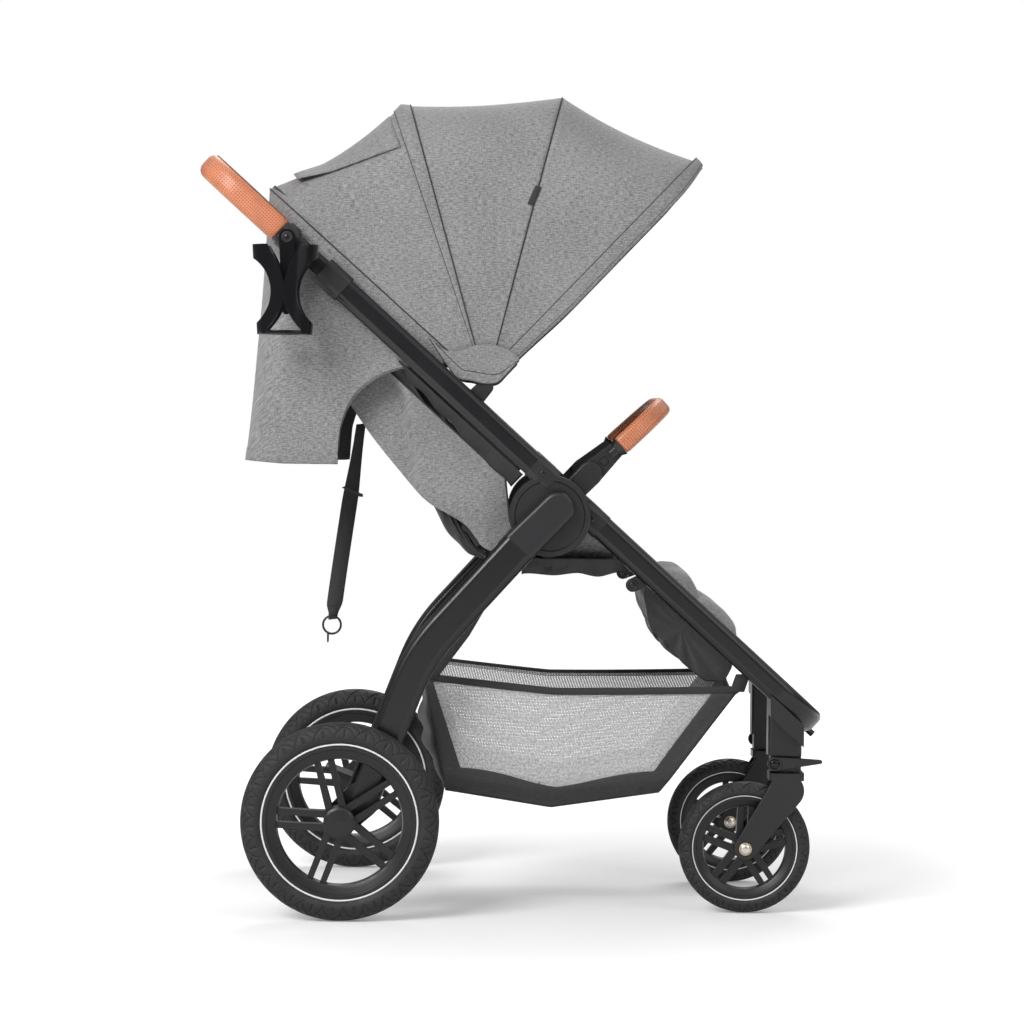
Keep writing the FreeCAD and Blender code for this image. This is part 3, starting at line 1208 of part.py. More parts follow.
# ---- cup holder --------------------------------------------------------------------------
def cup_clamp():
    """Clamp round the right handle leg with the stud of the cup holder."""
    s0 = -CUP_CLAMP_S - 9
    s1 = -CUP_CLAMP_S + 9
    band = straight_tube(s0, s1, -UPPER_TUBE_Y, TUBE_TALL + 2 * CUP_BAND, TUBE_THIN + 2 * CUP_BAND, 0)
    band = band.cut(straight_tube(s0, s1, -UPPER_TUBE_Y, TUBE_TALL, TUBE_THIN, 0))
    return band.fuse(disc(CUP_HANG, CUP_STUD_R, CUP_SIDE_Y - CUP_WALL - 3, CUP_SIDE_Y + 1))


def cup_wall(inset):
    """Flaring oval shell of the cup holder, filled, or its inside when it is inset."""
    bottom = CUP_HANG[1] - CUP_DROP - CUP_HEIGHT
    rings = []
    for half, z in ((CUP_HALF_BOTTOM, bottom), (CUP_HALF_TOP, bottom + CUP_HEIGHT)):
        middle = vector(CUP_HANG[0], CUP_Y, z)
        rings.append(Part.Wire(Part.Ellipse(middle, half - inset, CUP_HALF_ACROSS - inset).toShape()))
    return Part.makeLoft(rings, True, True)


def cup_window(direction, reach):
    """Lens-shaped opening between the arms, above or below the waist."""
    x = CUP_HANG[0]
    waist = CUP_HANG[1] - CUP_DROP - CUP_HEIGHT + CUP_WAIST_Z
    tip = waist + direction * 12
    end = waist + direction * reach
    half = CUP_WAIST / 2 + 6
    bow_x = half * 0.36
    bow_z = (tip + end) / 2
    edges = [
        Part.Arc(at((x, tip), 0), at((x + bow_x, bow_z), 0), at((x + half, end), 0)).toShape(),
        Part.makeLine(at((x + half, end), 0), at((x - half, end), 0)),
        Part.Arc(at((x - half, end), 0), at((x - bow_x, bow_z), 0), at((x, tip), 0)).toShape(),
    ]
    lens = Part.Face(Part.Wire(edges))
    lens.translate(ACROSS * (CUP_Y - CUP_HALF_TOP))
    return lens.extrude(ACROSS * (2 * CUP_HALF_TOP))


def cup_holder():
    """Hourglass holder: curved arms that meet at a waist, a base ring and a hanging spine."""
    bottom = CUP_HANG[1] - CUP_DROP - CUP_HEIGHT
    shell = cup_wall(0).cut(cup_wall(CUP_WALL))
    bite_x = CUP_WAIST / 2 + CUP_SIDE_BITE_R
    for side in (-1, 1):
        bite = disc((CUP_HANG[0] + side * bite_x, bottom + CUP_WAIST_Z), CUP_SIDE_BITE_R,
                    CUP_Y - CUP_HALF_TOP, CUP_Y + CUP_HALF_TOP)
        shell = shell.cut(bite)
    shell = shell.cut(cup_window(1, CUP_HEIGHT - CUP_WAIST_Z + 1))
    shell = shell.cut(cup_window(-1, CUP_WAIST_Z - CUP_BASE))
    floor = Part.makeBox(200, 200, CUP_BASE, vector(CUP_HANG[0] - 100, CUP_Y - 100, bottom))
    hole = Part.makeCylinder(CUP_BASE_HOLE_R, CUP_BASE + 2, vector(CUP_HANG[0], CUP_Y, bottom - 1), UP)
    base = cup_wall(CUP_WALL / 2).common(floor).cut(hole)
    spine = link(CUP_HANG, (CUP_HANG[0], bottom + CUP_WAIST_Z - 25), 2 * CUP_STUD_R, CUP_STUD_R,
                 CUP_SIDE_Y - CUP_WALL - 1, CUP_SIDE_Y)
    spine = spine.cut(disc(CUP_HANG, CUP_STUD_R + RUNNING_FIT, CUP_SIDE_Y - 9, CUP_SIDE_Y + 1))
    return shell.fuse([base, spine])


# ---- every piece under its own name ------------------------------------------------------
def both_sides(name, shape):
    parts[name + "_left"] = shape
    parts[name + "_right"] = mirrored(shape)


def build_frame():
    parts["front_frame"] = front_frame()
    parts["lower_hinges"] = pair(lower_hinge())
    parts["front_housings"] = pair(front_housing())
    parts["upper_tubes"] = pair(upper_tube())
    parts["upper_hinges"] = pair(upper_hinge())
    parts["height_locks"] = pair(height_lock())
    parts["handle_tube"] = handle_tube()
    parts["handle_grip"] = handle_grip()
    parts["grip_joints"] = pair(grip_joint())
    parts["rear_legs"] = pair(rear_leg())
    parts["leg_bosses"] = pair(leg_boss())
    parts["rear_axle"] = rear_axle()
    parts["brake_pedal"] = brake_pedal()


def build_wheels():
    rear_hub_half = REAR_TYRE_WIDTH / 2
    both_sides("rear_tyre", tyre(REAR_AXLE, REAR_WHEEL_Y, REAR_WHEEL_R, REAR_TYRE_WIDTH))
    both_sides("rear_rim", rim(REAR_AXLE, REAR_WHEEL_Y, REAR_WHEEL_R, REAR_TYRE_WIDTH, HUB_R,
                               rear_hub_half, REAR_SPOKE_ANGLE, 1.0))
    parts["rear_hub_cap_left"] = rear_hub_cap(1)
    parts["rear_hub_cap_right"] = rear_hub_cap(-1)
    both_sides("front_tyre", tyre(FRONT_AXLE, FRONT_WHEEL_Y, FRONT_WHEEL_R, FRONT_TYRE_WIDTH))
    front_hub_half = FRONT_TYRE_WIDTH / 2 + TYRE_GAP - SEAM
    both_sides("front_rim", rim(FRONT_AXLE, FRONT_WHEEL_Y, FRONT_WHEEL_R, FRONT_TYRE_WIDTH, FRONT_HUB_R,
                                front_hub_half, FRONT_SPOKE_ANGLE, 0.8))
    both_sides("fork", fork(FRONT_WHEEL_Y))
    both_sides("swivel_lever", swivel_lever())


def build_seat():
    parts["seat_frame"] = seat_frame()
    parts["seat_board"] = seat_board()
    parts["seat_cushion"] = seat_cushion()
    parts["harness_buckle"] = harness_buckle()
    parts["back_board"] = back_board()
    parts["back_pad"] = back_pad()
    parts["seat_shell"] = seat_shell()
    parts["side_panels"] = pair(side_panel())
    parts["shoulder_straps"] = shoulder_straps()
    parts["recline_strap"] = recline_strap()
    parts["strap_fittings"] = strap_fittings()
    parts["calf_board"] = calf_board()
    parts["calf_pad"] = calf_pad()
    parts["calf_brackets"] = pair(calf_bracket())


def build_bumper_and_cup():
    parts["bumper_mounts"] = pair(bumper_mount())
    parts["bumper_bar"] = bumper_bar()
    parts["bumper_grip"] = bumper_grip()
    both_sides("bumper_button", button_block(0))
    parts["cup_clamp"] = cup_clamp()
    parts["cup_holder"] = cup_holder()


def build_soft():
    parts["canopy_clips"] = pair(canopy_clip())
    lines = [BACK_BOW, REAR_BOW, MID_BOW, FRONT_BOW]
    names = ["back", "rear", "mid", "front"]
    for layer, (name, line) in enumerate(zip(names, lines)):
        parts["bow_" + name] = bow(line, layer)
    parts["canopy_back"] = canopy_panel(BACK_BOW, 0, REAR_BOW, 1)
    parts["canopy_mid"] = canopy_panel(REAR_BOW, 1, MID_BOW, 2)
    parts["canopy_front"] = canopy_panel(MID_BOW, 2, FRONT_BOW, 3)
    parts["rear_drape"] = rear_drape()
    parts["basket"] = basket()
    parts["basket_rim"] = basket_rim()


def write_parts():
    os.makedirs("parts", exist_ok=True)
    for name, shape in parts.items():
        shape.exportStep(os.path.join("parts", name + ".step"))


build_frame()
build_wheels()
build_seat()
build_bumper_and_cup()
build_soft()
write_parts()
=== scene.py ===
"""Looks of a folding four-wheel buggy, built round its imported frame.  Lengths in here are
millimetres until a mesh is made; +X is forward, +Y left and +Z up."""

import math

import bmesh
import bpy
from bpy.props import FloatProperty, FloatVectorProperty, IntProperty, PointerProperty
from mathutils import Matrix, Vector, noise


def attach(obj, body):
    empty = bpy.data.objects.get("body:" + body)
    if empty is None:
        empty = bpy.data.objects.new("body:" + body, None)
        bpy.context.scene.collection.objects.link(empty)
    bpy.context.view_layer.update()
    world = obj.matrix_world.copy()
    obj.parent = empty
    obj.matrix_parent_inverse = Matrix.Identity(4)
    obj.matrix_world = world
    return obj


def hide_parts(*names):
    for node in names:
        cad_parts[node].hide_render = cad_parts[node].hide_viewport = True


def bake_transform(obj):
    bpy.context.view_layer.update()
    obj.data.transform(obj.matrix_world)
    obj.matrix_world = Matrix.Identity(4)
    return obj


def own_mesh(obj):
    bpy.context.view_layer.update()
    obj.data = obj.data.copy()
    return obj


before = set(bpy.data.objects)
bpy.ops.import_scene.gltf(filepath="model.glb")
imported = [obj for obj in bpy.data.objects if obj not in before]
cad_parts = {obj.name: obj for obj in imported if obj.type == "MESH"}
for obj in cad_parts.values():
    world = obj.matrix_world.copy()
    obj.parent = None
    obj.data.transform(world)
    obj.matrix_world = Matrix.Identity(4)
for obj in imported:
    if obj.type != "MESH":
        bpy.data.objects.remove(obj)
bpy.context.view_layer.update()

bl_info = {
    "name": "Buggy builder",
    "version": (1, 0, 0),
    "blender": (4, 5, 0),
    "location": "View3D > Sidebar > Buggy",
    "description": "Builds the covers, wheels, grips and finishes of a folding buggy",
    "category": "Add Mesh",
}

MM = 0.001
SIDES = (("left", 1), ("right", -1))
ACROSS = Vector((0, 1, 0))
UP = Vector((0, 0, 1))

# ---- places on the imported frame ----
SLOPE = math.radians(42.1)  # of the folding frame's tubes, down towards the front
HINGE = Vector((55.5, 0, 591))
ALONG_TUBE = Vector((math.cos(SLOPE), 0, -math.sin(SLOPE)))
OFF_TUBE = Vector((math.sin(SLOPE), 0, math.cos(SLOPE)))
UPPER_TUBE_Y = 220.5
CANOPY_PIVOT = HINGE - ALONG_TUBE * 199 + OFF_TUBE * 77
BACK_FOOT = HINGE + Vector((-108, 0, -50))
BACK_ANGLE = math.radians(124)
UP_BACK = Vector((math.cos(BACK_ANGLE), 0, math.sin(BACK_ANGLE)))
OFF_BACK = Vector((math.sin(BACK_ANGLE), 0, -math.cos(BACK_ANGLE)))
BUMPER_HUB = HINGE + Vector((59.8, 0, 61.6))
BUMPER_RISE = math.radians(43)
ALONG_BUMPER = Vector((math.cos(BUMPER_RISE), 0, math.sin(BUMPER_RISE)))
OFF_BUMPER = Vector((-math.sin(BUMPER_RISE), 0, math.cos(BUMPER_RISE)))
BUMPER_Y = 175.0
REAR_AXLE = Vector((-246, 0, 145))
FRONT_AXLE = Vector((352.5, 0, 98))
REAR_WHEEL_Y = 280.0
FRONT_WHEEL_Y = 159.0

# Each bow: its angle round the canopy pivot in degrees, its length and the cloth's half width.
BOWS = {
    "edge": (138.3, 438.0, 206.0),
    "back": (137.9, 440.0, 205.5),
    "rear": (107.5, 438.0, 201.5),
    "mid": (75.8, 447.0, 197.5),
    "front": (46.5, 465.0, 193.5),
}
BOW_CORNER = 100.0
CANOPY_LOWEST = 48.0


def flat_points(*places):
    """Points in the middle plane from (x, z) pairs."""
    return [Vector((x, 0, z)) for x, z in places]


def on_frame(s, n, y=0.0):
    """Point s along the tubes below the hinge and n off them."""
    return HINGE + ALONG_TUBE * s + OFF_TUBE * n + ACROSS * y


def on_back(along, forward, y=0.0):
    """Point along the backrest from its foot and forward of its board."""
    return BACK_FOOT + UP_BACK * along + OFF_BACK * forward + ACROSS * y


def polar(centre, degrees, distance):
    angle = math.radians(degrees)
    return centre + Vector((math.cos(angle), 0, math.sin(angle))) * distance


def smooth(low, high, value):
    t = min(1.0, max(0.0, (value - low) / (high - low)))
    return t * t * (3 - 2 * t)


def eased_line(points, count):
    """Smooth line through points, evenly numbered from the first to the last."""
    line = []
    for k in range(count):
        at = k / (count - 1) * (len(points) - 1)
        i = min(int(at), len(points) - 2)
        t = at - i
        a, b, c, d = (points[max(0, min(len(points) - 1, i + j))] for j in (-1, 0, 1, 2))
        line.append(0.5 * (2 * b + (c - a) * t + (2 * a - 5 * b + 4 * c - d) * t ** 2
                           + (3 * b - a - 3 * c + d) * t ** 3))
    return line


def blended(a, b, t):
    return a + (b - a) * t


def level(pairs, at):
    """Value at a place between the (place, value) pairs."""
    for (a, low), (b, high) in zip(pairs, pairs[1:]):
        if at <= b:
            return blended(low, high, max(0.0, (at - a) / (b - a)))
    return pairs[-1][1]


def along_points(points, t):
    """Point at a share t of the way along a line of points."""
    spans = [(q - p).length for p, q in zip(points, points[1:])]
    way = t * sum(spans)
    for p, q, length in zip(points, points[1:], spans):
        if way <= length:
            return p.lerp(q, way / length)
        way -= length
    return points[-1].copy()


# ---- settings a user would change ----
class BuggySizes(bpy.types.PropertyGroup):
    canopy_sag: FloatProperty(
        name="Canopy sag", description="How far the canopy cloth falls in between its bows",
        default=0.014, min=0.0, max=0.04, unit="LENGTH")
    hem_width: FloatProperty(
        name="Hem width", description="Width of the stitched hem on the canopy's front edge",
        default=0.014, min=0.004, max=0.03, unit="LENGTH")
    band_width: FloatProperty(
        name="Band width", description="Width of the band sewn over the rear bow",
        default=0.029, min=0.01, max=0.05, unit="LENGTH")
    weave_pitch: FloatProperty(
        name="Weave pitch", description="Distance between two yarns of the grey cloth",
        default=0.0008, min=0.0004, max=0.004, unit="LENGTH")
    hole_pitch: FloatProperty(
        name="Hole pitch", description="Distance between the small holes in the leather",
        default=0.0037, min=0.002, max=0.01, unit="LENGTH")
    mesh_pitch: FloatProperty(
        name="Mesh pitch", description="Distance between two openings of the basket mesh",
        default=0.0030, min=0.001, max=0.008, unit="LENGTH")
    groove_depth: FloatProperty(
        name="Tread depth", description="Depth of the grooves in the tyres",
        default=0.0021, min=0.0, max=0.004, unit="LENGTH")
    pad_swell: FloatProperty(
        name="Pad swell", description="The most that a point of a pad may swell outward",
        default=0.007, min=0.0, max=0.02, unit="LENGTH")
    pad_voxel: FloatProperty(
        name="Pad mesh size", description="Size of the cells that the pads are simulated with",
        default=0.0065, min=0.003, max=0.02, unit="LENGTH")
    swell_steps: IntProperty(
        name="Swell steps", description="Frames of cloth simulation that fill each pad",
        default=18, min=1, max=60)


def colour_setting(name, description, default):
    return FloatVectorProperty(name=name, description=description, subtype="COLOR", size=4,
                               default=(*default, 1), min=0, max=1)


class BuggyColours(bpy.types.PropertyGroup):
    cloth_light: colour_setting(
        "Cloth, light yarn", "Paler yarn of the melange cloth", (0.32, 0.32, 0.321))
    cloth_dark: colour_setting(
        "Cloth, dark yarn", "Darker yarn of the melange cloth", (0.115, 0.115, 0.1155))
    leather: colour_setting(
        "Leather", "Covers of the push handle and the bumper bar", (0.63, 0.215, 0.10))
    paint: colour_setting("Tube paint", "Powder coat on the tubes", (0.0050, 0.0050, 0.0062))
    plastic: colour_setting(
        "Plastic", "Moulded hinges, housings and forks", (0.009, 0.009, 0.0105))
    rubber: colour_setting("Rubber", "Tyres", (0.014, 0.014, 0.015))
    pinstripe: colour_setting("Pinstripe", "Ring round each wheel", (0.72, 0.72, 0.72))


# ---- node helpers ----
def feed(tree, socket, value):
    """Links a socket into another, or sets it to a value."""
    if isinstance(value, bpy.types.NodeSocket):
        tree.links.new(value, socket)
    else:
        socket.default_value = value


def add_node(tree, kind, inputs=None, **settings):
    """Node with its settings made and its inputs given as values or as sockets to link from."""
    node = tree.nodes.new(kind)
    for name, value in settings.items():
        setattr(node, name, value)
    for name, value in (inputs or {}).items():
        feed(tree, node.inputs[name], value)
    return node


def calc(tree, operation, a, b=0.0, c=0.0):
    return add_node(tree, "ShaderNodeMath", {0: a, 1: b, 2: c}, operation=operation).outputs[0]


def split_axes(tree, vector):
    return add_node(tree, "ShaderNodeSeparateXYZ", {0: vector}).outputs


def ranged(tree, value, low, high, to_low=0.0, to_high=1.0):
    return add_node(tree, "ShaderNodeMapRange", {
        "Value": value, "From Min": low, "From Max": high, "To Min": to_low, "To Max": to_high,
    }).outputs["Result"]


def mixed(tree, share, a, b):
    node = add_node(tree, "ShaderNodeMix", data_type="RGBA")
    for socket, value in ((0, share), (6, a), (7, b)):
        feed(tree, node.inputs[socket], value)
    return node.outputs[2]


def grainy(tree, vector, scale, detail=3.0):
    return add_node(tree, "ShaderNodeTexNoise",
                    {"Vector": vector, "Scale": scale, "Detail": detail}).outputs["Fac"]


def new_group(name, inputs, outputs):
    group = bpy.data.node_groups.new(name, "ShaderNodeTree")
    for way, sockets in (("INPUT", inputs), ("OUTPUT", outputs)):
        for socket, kind in sockets:
            group.interface.new_socket(name=socket, in_out=way, socket_type="NodeSocket" + kind)
    given = group.nodes.new("NodeGroupInput").outputs
    return group, given, group.nodes.new("NodeGroupOutput").inputs


def weave_group():
    """Plain weave of two yarns: colour with slubs both ways, and the height of the yarns."""
    group, given, out = new_group(
        "cloth weave",
        [("Vector", "Vector"), ("Pitch", "Float"), ("Light", "Color"), ("Dark", "Color")],
        [("Color", "Color"), ("Height", "Float")])
    axes = split_axes(group, given["Vector"])
    warp, weft = (
        calc(group, "DIVIDE", calc(group, "MULTIPLY_ADD", axes[1], lean, axes[k]), given["Pitch"])
        for k, lean in ((0, 0.6), (2, 0.8)))
    over = calc(group, "MULTIPLY", calc(group, "SINE", calc(group, "MULTIPLY", warp, math.pi)),
                calc(group, "SINE", calc(group, "MULTIPLY", weft, math.pi)))
    slubs = []
    for along, thick in ((0.11, 0.52), (0.52, 0.11)):
        place = add_node(group, "ShaderNodeCombineXYZ", {
            0: calc(group, "MULTIPLY", warp, along),
            1: calc(group, "MULTIPLY", weft, thick)}).outputs[0]
        slubs.append(grainy(group, place, 1.0, 2.0))
    fleck = calc(group, "MULTIPLY_ADD", slubs[0], 0.64, calc(group, "MULTIPLY", slubs[1], 0.36))
    cloud = grainy(group, given["Vector"], 9.0, 2.0)
    share = ranged(group, calc(group, "MULTIPLY_ADD", cloud, 0.14, fleck), 0.42, 0.72)
    share = calc(group, "MULTIPLY_ADD", over, 0.08, share)
    group.links.new(mixed(group, share, given["Dark"], given["Light"]), out["Color"])
    group.links.new(calc(group, "MULTIPLY_ADD", over, 0.5, fleck), out["Height"])
    return group


def holes_group():
    """Square grid of round holes over a flat cut, 1 inside a hole."""
    group, given, out = new_group(
        "holes",
        [("Vector", "Vector"), ("Pitch", "Float"), ("Radius", "Float"), ("Turn", "Float")],
        [("Hole", "Float")])
    turned = add_node(group, "ShaderNodeVectorRotate",
                      {"Vector": given["Vector"], "Angle": given["Turn"]}, rotation_type="Z_AXIS")
    axes = split_axes(group, turned.outputs[0])
    squares = []
    for axis in (0, 1):
        cell = calc(group, "FRACT", calc(group, "DIVIDE", axes[axis], given["Pitch"]))
        squares.append(calc(group, "POWER", calc(group, "SUBTRACT", cell, 0.5), 2.0))
    far = calc(group, "SQRT", calc(group, "ADD", squares[0], squares[1]))
    edge = calc(group, "MULTIPLY", given["Radius"], 1.35)
    inside = add_node(group, "ShaderNodeMapRange", {
        "Value": far, "From Min": edge, "From Max": given["Radius"]}).outputs["Result"]
    group.links.new(inside, out["Hole"])
    return group


def grain_group():
    """Fine moulded or leather grain: its height and how much rougher it makes a place."""
    group, given, out = new_group("fine grain", [("Vector", "Vector"), ("Scale", "Float")],
                                  [("Height", "Float"), ("Roughness", "Float")])
    cells = add_node(group, "ShaderNodeTexVoronoi",
                     {"Vector": given["Vector"], "Scale": given["Scale"]},
                     feature="SMOOTH_F1").outputs["Distance"]
    fine = grainy(group, given["Vector"], calc(group, "MULTIPLY", given["Scale"], 0.6))
    patches = grainy(group, given["Vector"], 14.0)
    group.links.new(calc(group, "MULTIPLY_ADD", cells, 0.6, fine), out["Height"])
    group.links.new(ranged(group, patches, 0.3, 0.7, -0.02, 0.03), out["Roughness"])
    return group


def wear_and_highlight_group():
    """Pale rubbed outer edges, broken up by fine noise; on glossy parts such as the cup holder
    they are also a painted edge highlight.
    """
    group, given, out = new_group("edge wear and painted highlight", [("Vector", "Vector"), ("Amount", "Float")],
                                  [("Mask", "Float")])
    corner = group.nodes.new("ShaderNodeNewGeometry").outputs["Pointiness"]
    sharp = ranged(group, corner, 0.53, 0.62)
    broken = ranged(group, grainy(group, given["Vector"], 130.0), 0.35, 0.7)
    wear_and_highlight_mask = calc(group, "MULTIPLY", sharp, broken)
    group.links.new(calc(group, "MULTIPLY", wear_and_highlight_mask, given["Amount"]), out["Mask"])
    return group


def dust_group():
    """Thin dust on faces that look up, and more of it near the ground."""
    group, given, out = new_group("dust", [("Vector", "Vector"), ("Amount", "Float")],
                                  [("Mask", "Float")])
    facing = split_axes(group, group.nodes.new("ShaderNodeNewGeometry").outputs["Normal"])[2]
    height = split_axes(group, given["Vector"])[2]
    low = ranged(group, height, 0.30, 0.0, 0.06, 1.0)
    patches = ranged(group, grainy(group, given["Vector"], 38.0, 5.0), 0.42, 0.7)
    settled = calc(group, "MULTIPLY", ranged(group, facing, -0.2, 1.0), patches)
    dusty = calc(group, "MULTIPLY", settled, low)
    group.links.new(calc(group, "MULTIPLY", dusty, given["Amount"]), out["Mask"])
    return group


def rib_group():
    """Ribs of narrow webbing, across its length, with painted shade in the grooves between them.
    """
    group, given, out = new_group("webbing ribs", [("Vector", "Vector"), ("Pitch", "Float")],
                                  [("Height", "Float"), ("Painted Groove Shade", "Float")])
    axes = split_axes(group, given["Vector"])
    along = calc(group, "MULTIPLY_ADD", axes[1], 0.4, axes[2])
    turns = calc(group, "DIVIDE", along, given["Pitch"])
    rib = calc(group, "ABSOLUTE", calc(group, "SINE", calc(group, "MULTIPLY", turns, math.pi)))
    group.links.new(rib, out["Height"])
    group.links.new(calc(group, "MULTIPLY_ADD", rib, 0.6, 0.5), out["Painted Groove Shade"])
    return group


GROUP_MAKERS = {"weave": weave_group, "holes": holes_group, "grain": grain_group,
                "wear_and_highlight": wear_and_highlight_group, "dust": dust_group, "ribs": rib_group}
SHINE = "Specular_IOR_Level"
shared = {}
finishes = {}


def use_group(tree, name, **inputs):
    if name not in shared:
        shared[name] = GROUP_MAKERS[name]()
    node = add_node(tree, "ShaderNodeGroup")
    node.node_tree = shared[name]
    for socket, value in inputs.items():
        feed(tree, node.inputs[socket], value)
    return node.outputs


def new_finish(name, roughness, **constants):
    material = bpy.data.materials.new(name)
    material.use_nodes = True
    tree = material.node_tree
    shader = tree.nodes["Principled BSDF"]
    shader.inputs["Roughness"].default_value = roughness
    for socket, value in constants.items():
        shader.inputs[socket.replace("_", " ")].default_value = value
    finishes[name] = material
    place = tree.nodes.new("ShaderNodeTexCoord").outputs
    return tree, shader.inputs, place


def raise_bump(tree, sockets, height, strength, distance):
    bump = add_node(tree, "ShaderNodeBump",
                    {"Height": height, "Strength": strength, "Distance": distance})
    tree.links.new(bump.outputs["Normal"], sockets["Normal"])


def cloth_finish(name, light, dark, pitch, sheen, roughness=0.92):
    """Woven cloth that needs no flat cut: its yarns follow the frame's own axes."""
    tree, sockets, place = new_finish(name, roughness, Sheen_Weight=sheen, Sheen_Roughness=0.5)
    weave = use_group(tree, "weave", Vector=place["Object"], Pitch=pitch, Light=light, Dark=dark)
    tree.links.new(weave["Color"], sockets["Base Color"])
    raise_bump(tree, sockets, weave["Height"], 0.35, 0.0006)


def opaque(colour, share=1.0):
    return [c * share for c in colour[:3]] + [1]


def hard_finish(name, colour, roughness, grain_scale, bump, wear_and_highlight, dust, **constants):
    """Paint, moulded plastic or rubber with grain, pale rubbed edges that are partly a painted
    edge highlight, and a little dust.
    """
    tree, sockets, place = new_finish(name, roughness, **constants)
    grain = use_group(tree, "grain", Vector=place["Object"], Scale=grain_scale)
    wear_and_highlight_mask = use_group(tree, "wear_and_highlight", Vector=place["Object"], Amount=wear_and_highlight)["Mask"]
    dusty = use_group(tree, "dust", Vector=place["Object"], Amount=dust)["Mask"]
    # paler colour on sharp edges: rubbed wear, and a painted highlight where the finish is glossy
    pale_wear_and_highlight = [min(1.0, 3.2 * c + 0.03) for c in colour[:3]] + [1]
    base_with_wear_and_highlight = mixed(tree, wear_and_highlight_mask, list(colour), pale_wear_and_highlight)
    tree.links.new(mixed(tree, dusty, base_with_wear_and_highlight, (0.16, 0.15, 0.135, 1)), sockets["Base Color"])
    dulled = calc(tree, "MULTIPLY_ADD", dusty, 0.3, roughness)
    tree.links.new(calc(tree, "ADD", grain["Roughness"], dulled), sockets["Roughness"])
    raise_bump(tree, sockets, grain["Height"], bump, 0.0003)


def leather_finish(name, colour, pitch):
    tree, sockets, place = new_finish(name, 0.42, Coat_Weight=0.12, Coat_Roughness=0.35)
    hole = use_group(tree, "holes", Vector=place["UV"], Pitch=pitch, Radius=0.17, Turn=0.0)["Hole"]
    grain = use_group(tree, "grain", Vector=place["Object"], Scale=900.0)
    patches = ranged(tree, grainy(tree, place["Object"], 30.0), 0.3, 0.7)
    dark = opaque(colour, 0.78)
    tan = mixed(tree, patches, dark, list(colour))
    tree.links.new(mixed(tree, hole, tan, (0.13, 0.03, 0.012, 1)), sockets["Base Color"])
    tree.links.new(calc(tree, "ADD", grain["Roughness"], 0.42), sockets["Roughness"])
    height = calc(tree, "MULTIPLY_ADD", hole, -1.6, grain["Height"])
    raise_bump(tree, sockets, height, 0.45, 0.0005)


def webbing_finish(name, shade):
    tree, sockets, place = new_finish(name, 0.8, Sheen_Weight=0.1)
    ribs = use_group(tree, "ribs", Vector=place["Object"], Pitch=0.0016)
    fuzz = grainy(tree, place["Object"], 700.0)
    # painted shade: the webbing is darker in the grooves between its ribs
    tone_with_groove_shade = calc(tree, "MULTIPLY", ribs["Painted Groove Shade"], calc(tree, "MULTIPLY_ADD", fuzz, 0.6, 0.6))
    tree.links.new(mixed(tree, tone_with_groove_shade, (shade * 0.4,) * 3 + (1,), (shade * 1.6,) * 3 + (1,)),
                   sockets["Base Color"])
    raise_bump(tree, sockets, ribs["Height"], 0.5, 0.0006)


def mesh_finish(name, pitch, colour, radius):
    """Knitted mesh: thin yarn round small see-through openings."""
    tree, sockets, place = new_finish(name, 0.75, Sheen_Weight=0.1)
    hole = use_group(tree, "holes", Vector=place["UV"], Pitch=pitch, Radius=radius,
                     Turn=math.radians(45))["Hole"]
    tree.links.new(calc(tree, "SUBTRACT", 1.0, hole), sockets["Alpha"])
    fuzz = ranged(tree, grainy(tree, place["UV"], 260.0), 0.35, 0.65)
    dark = opaque(colour, 0.55)
    tree.links.new(mixed(tree, fuzz, dark, list(colour)), sockets["Base Color"])
    raise_bump(tree, sockets, hole, 0.3, 0.0004)


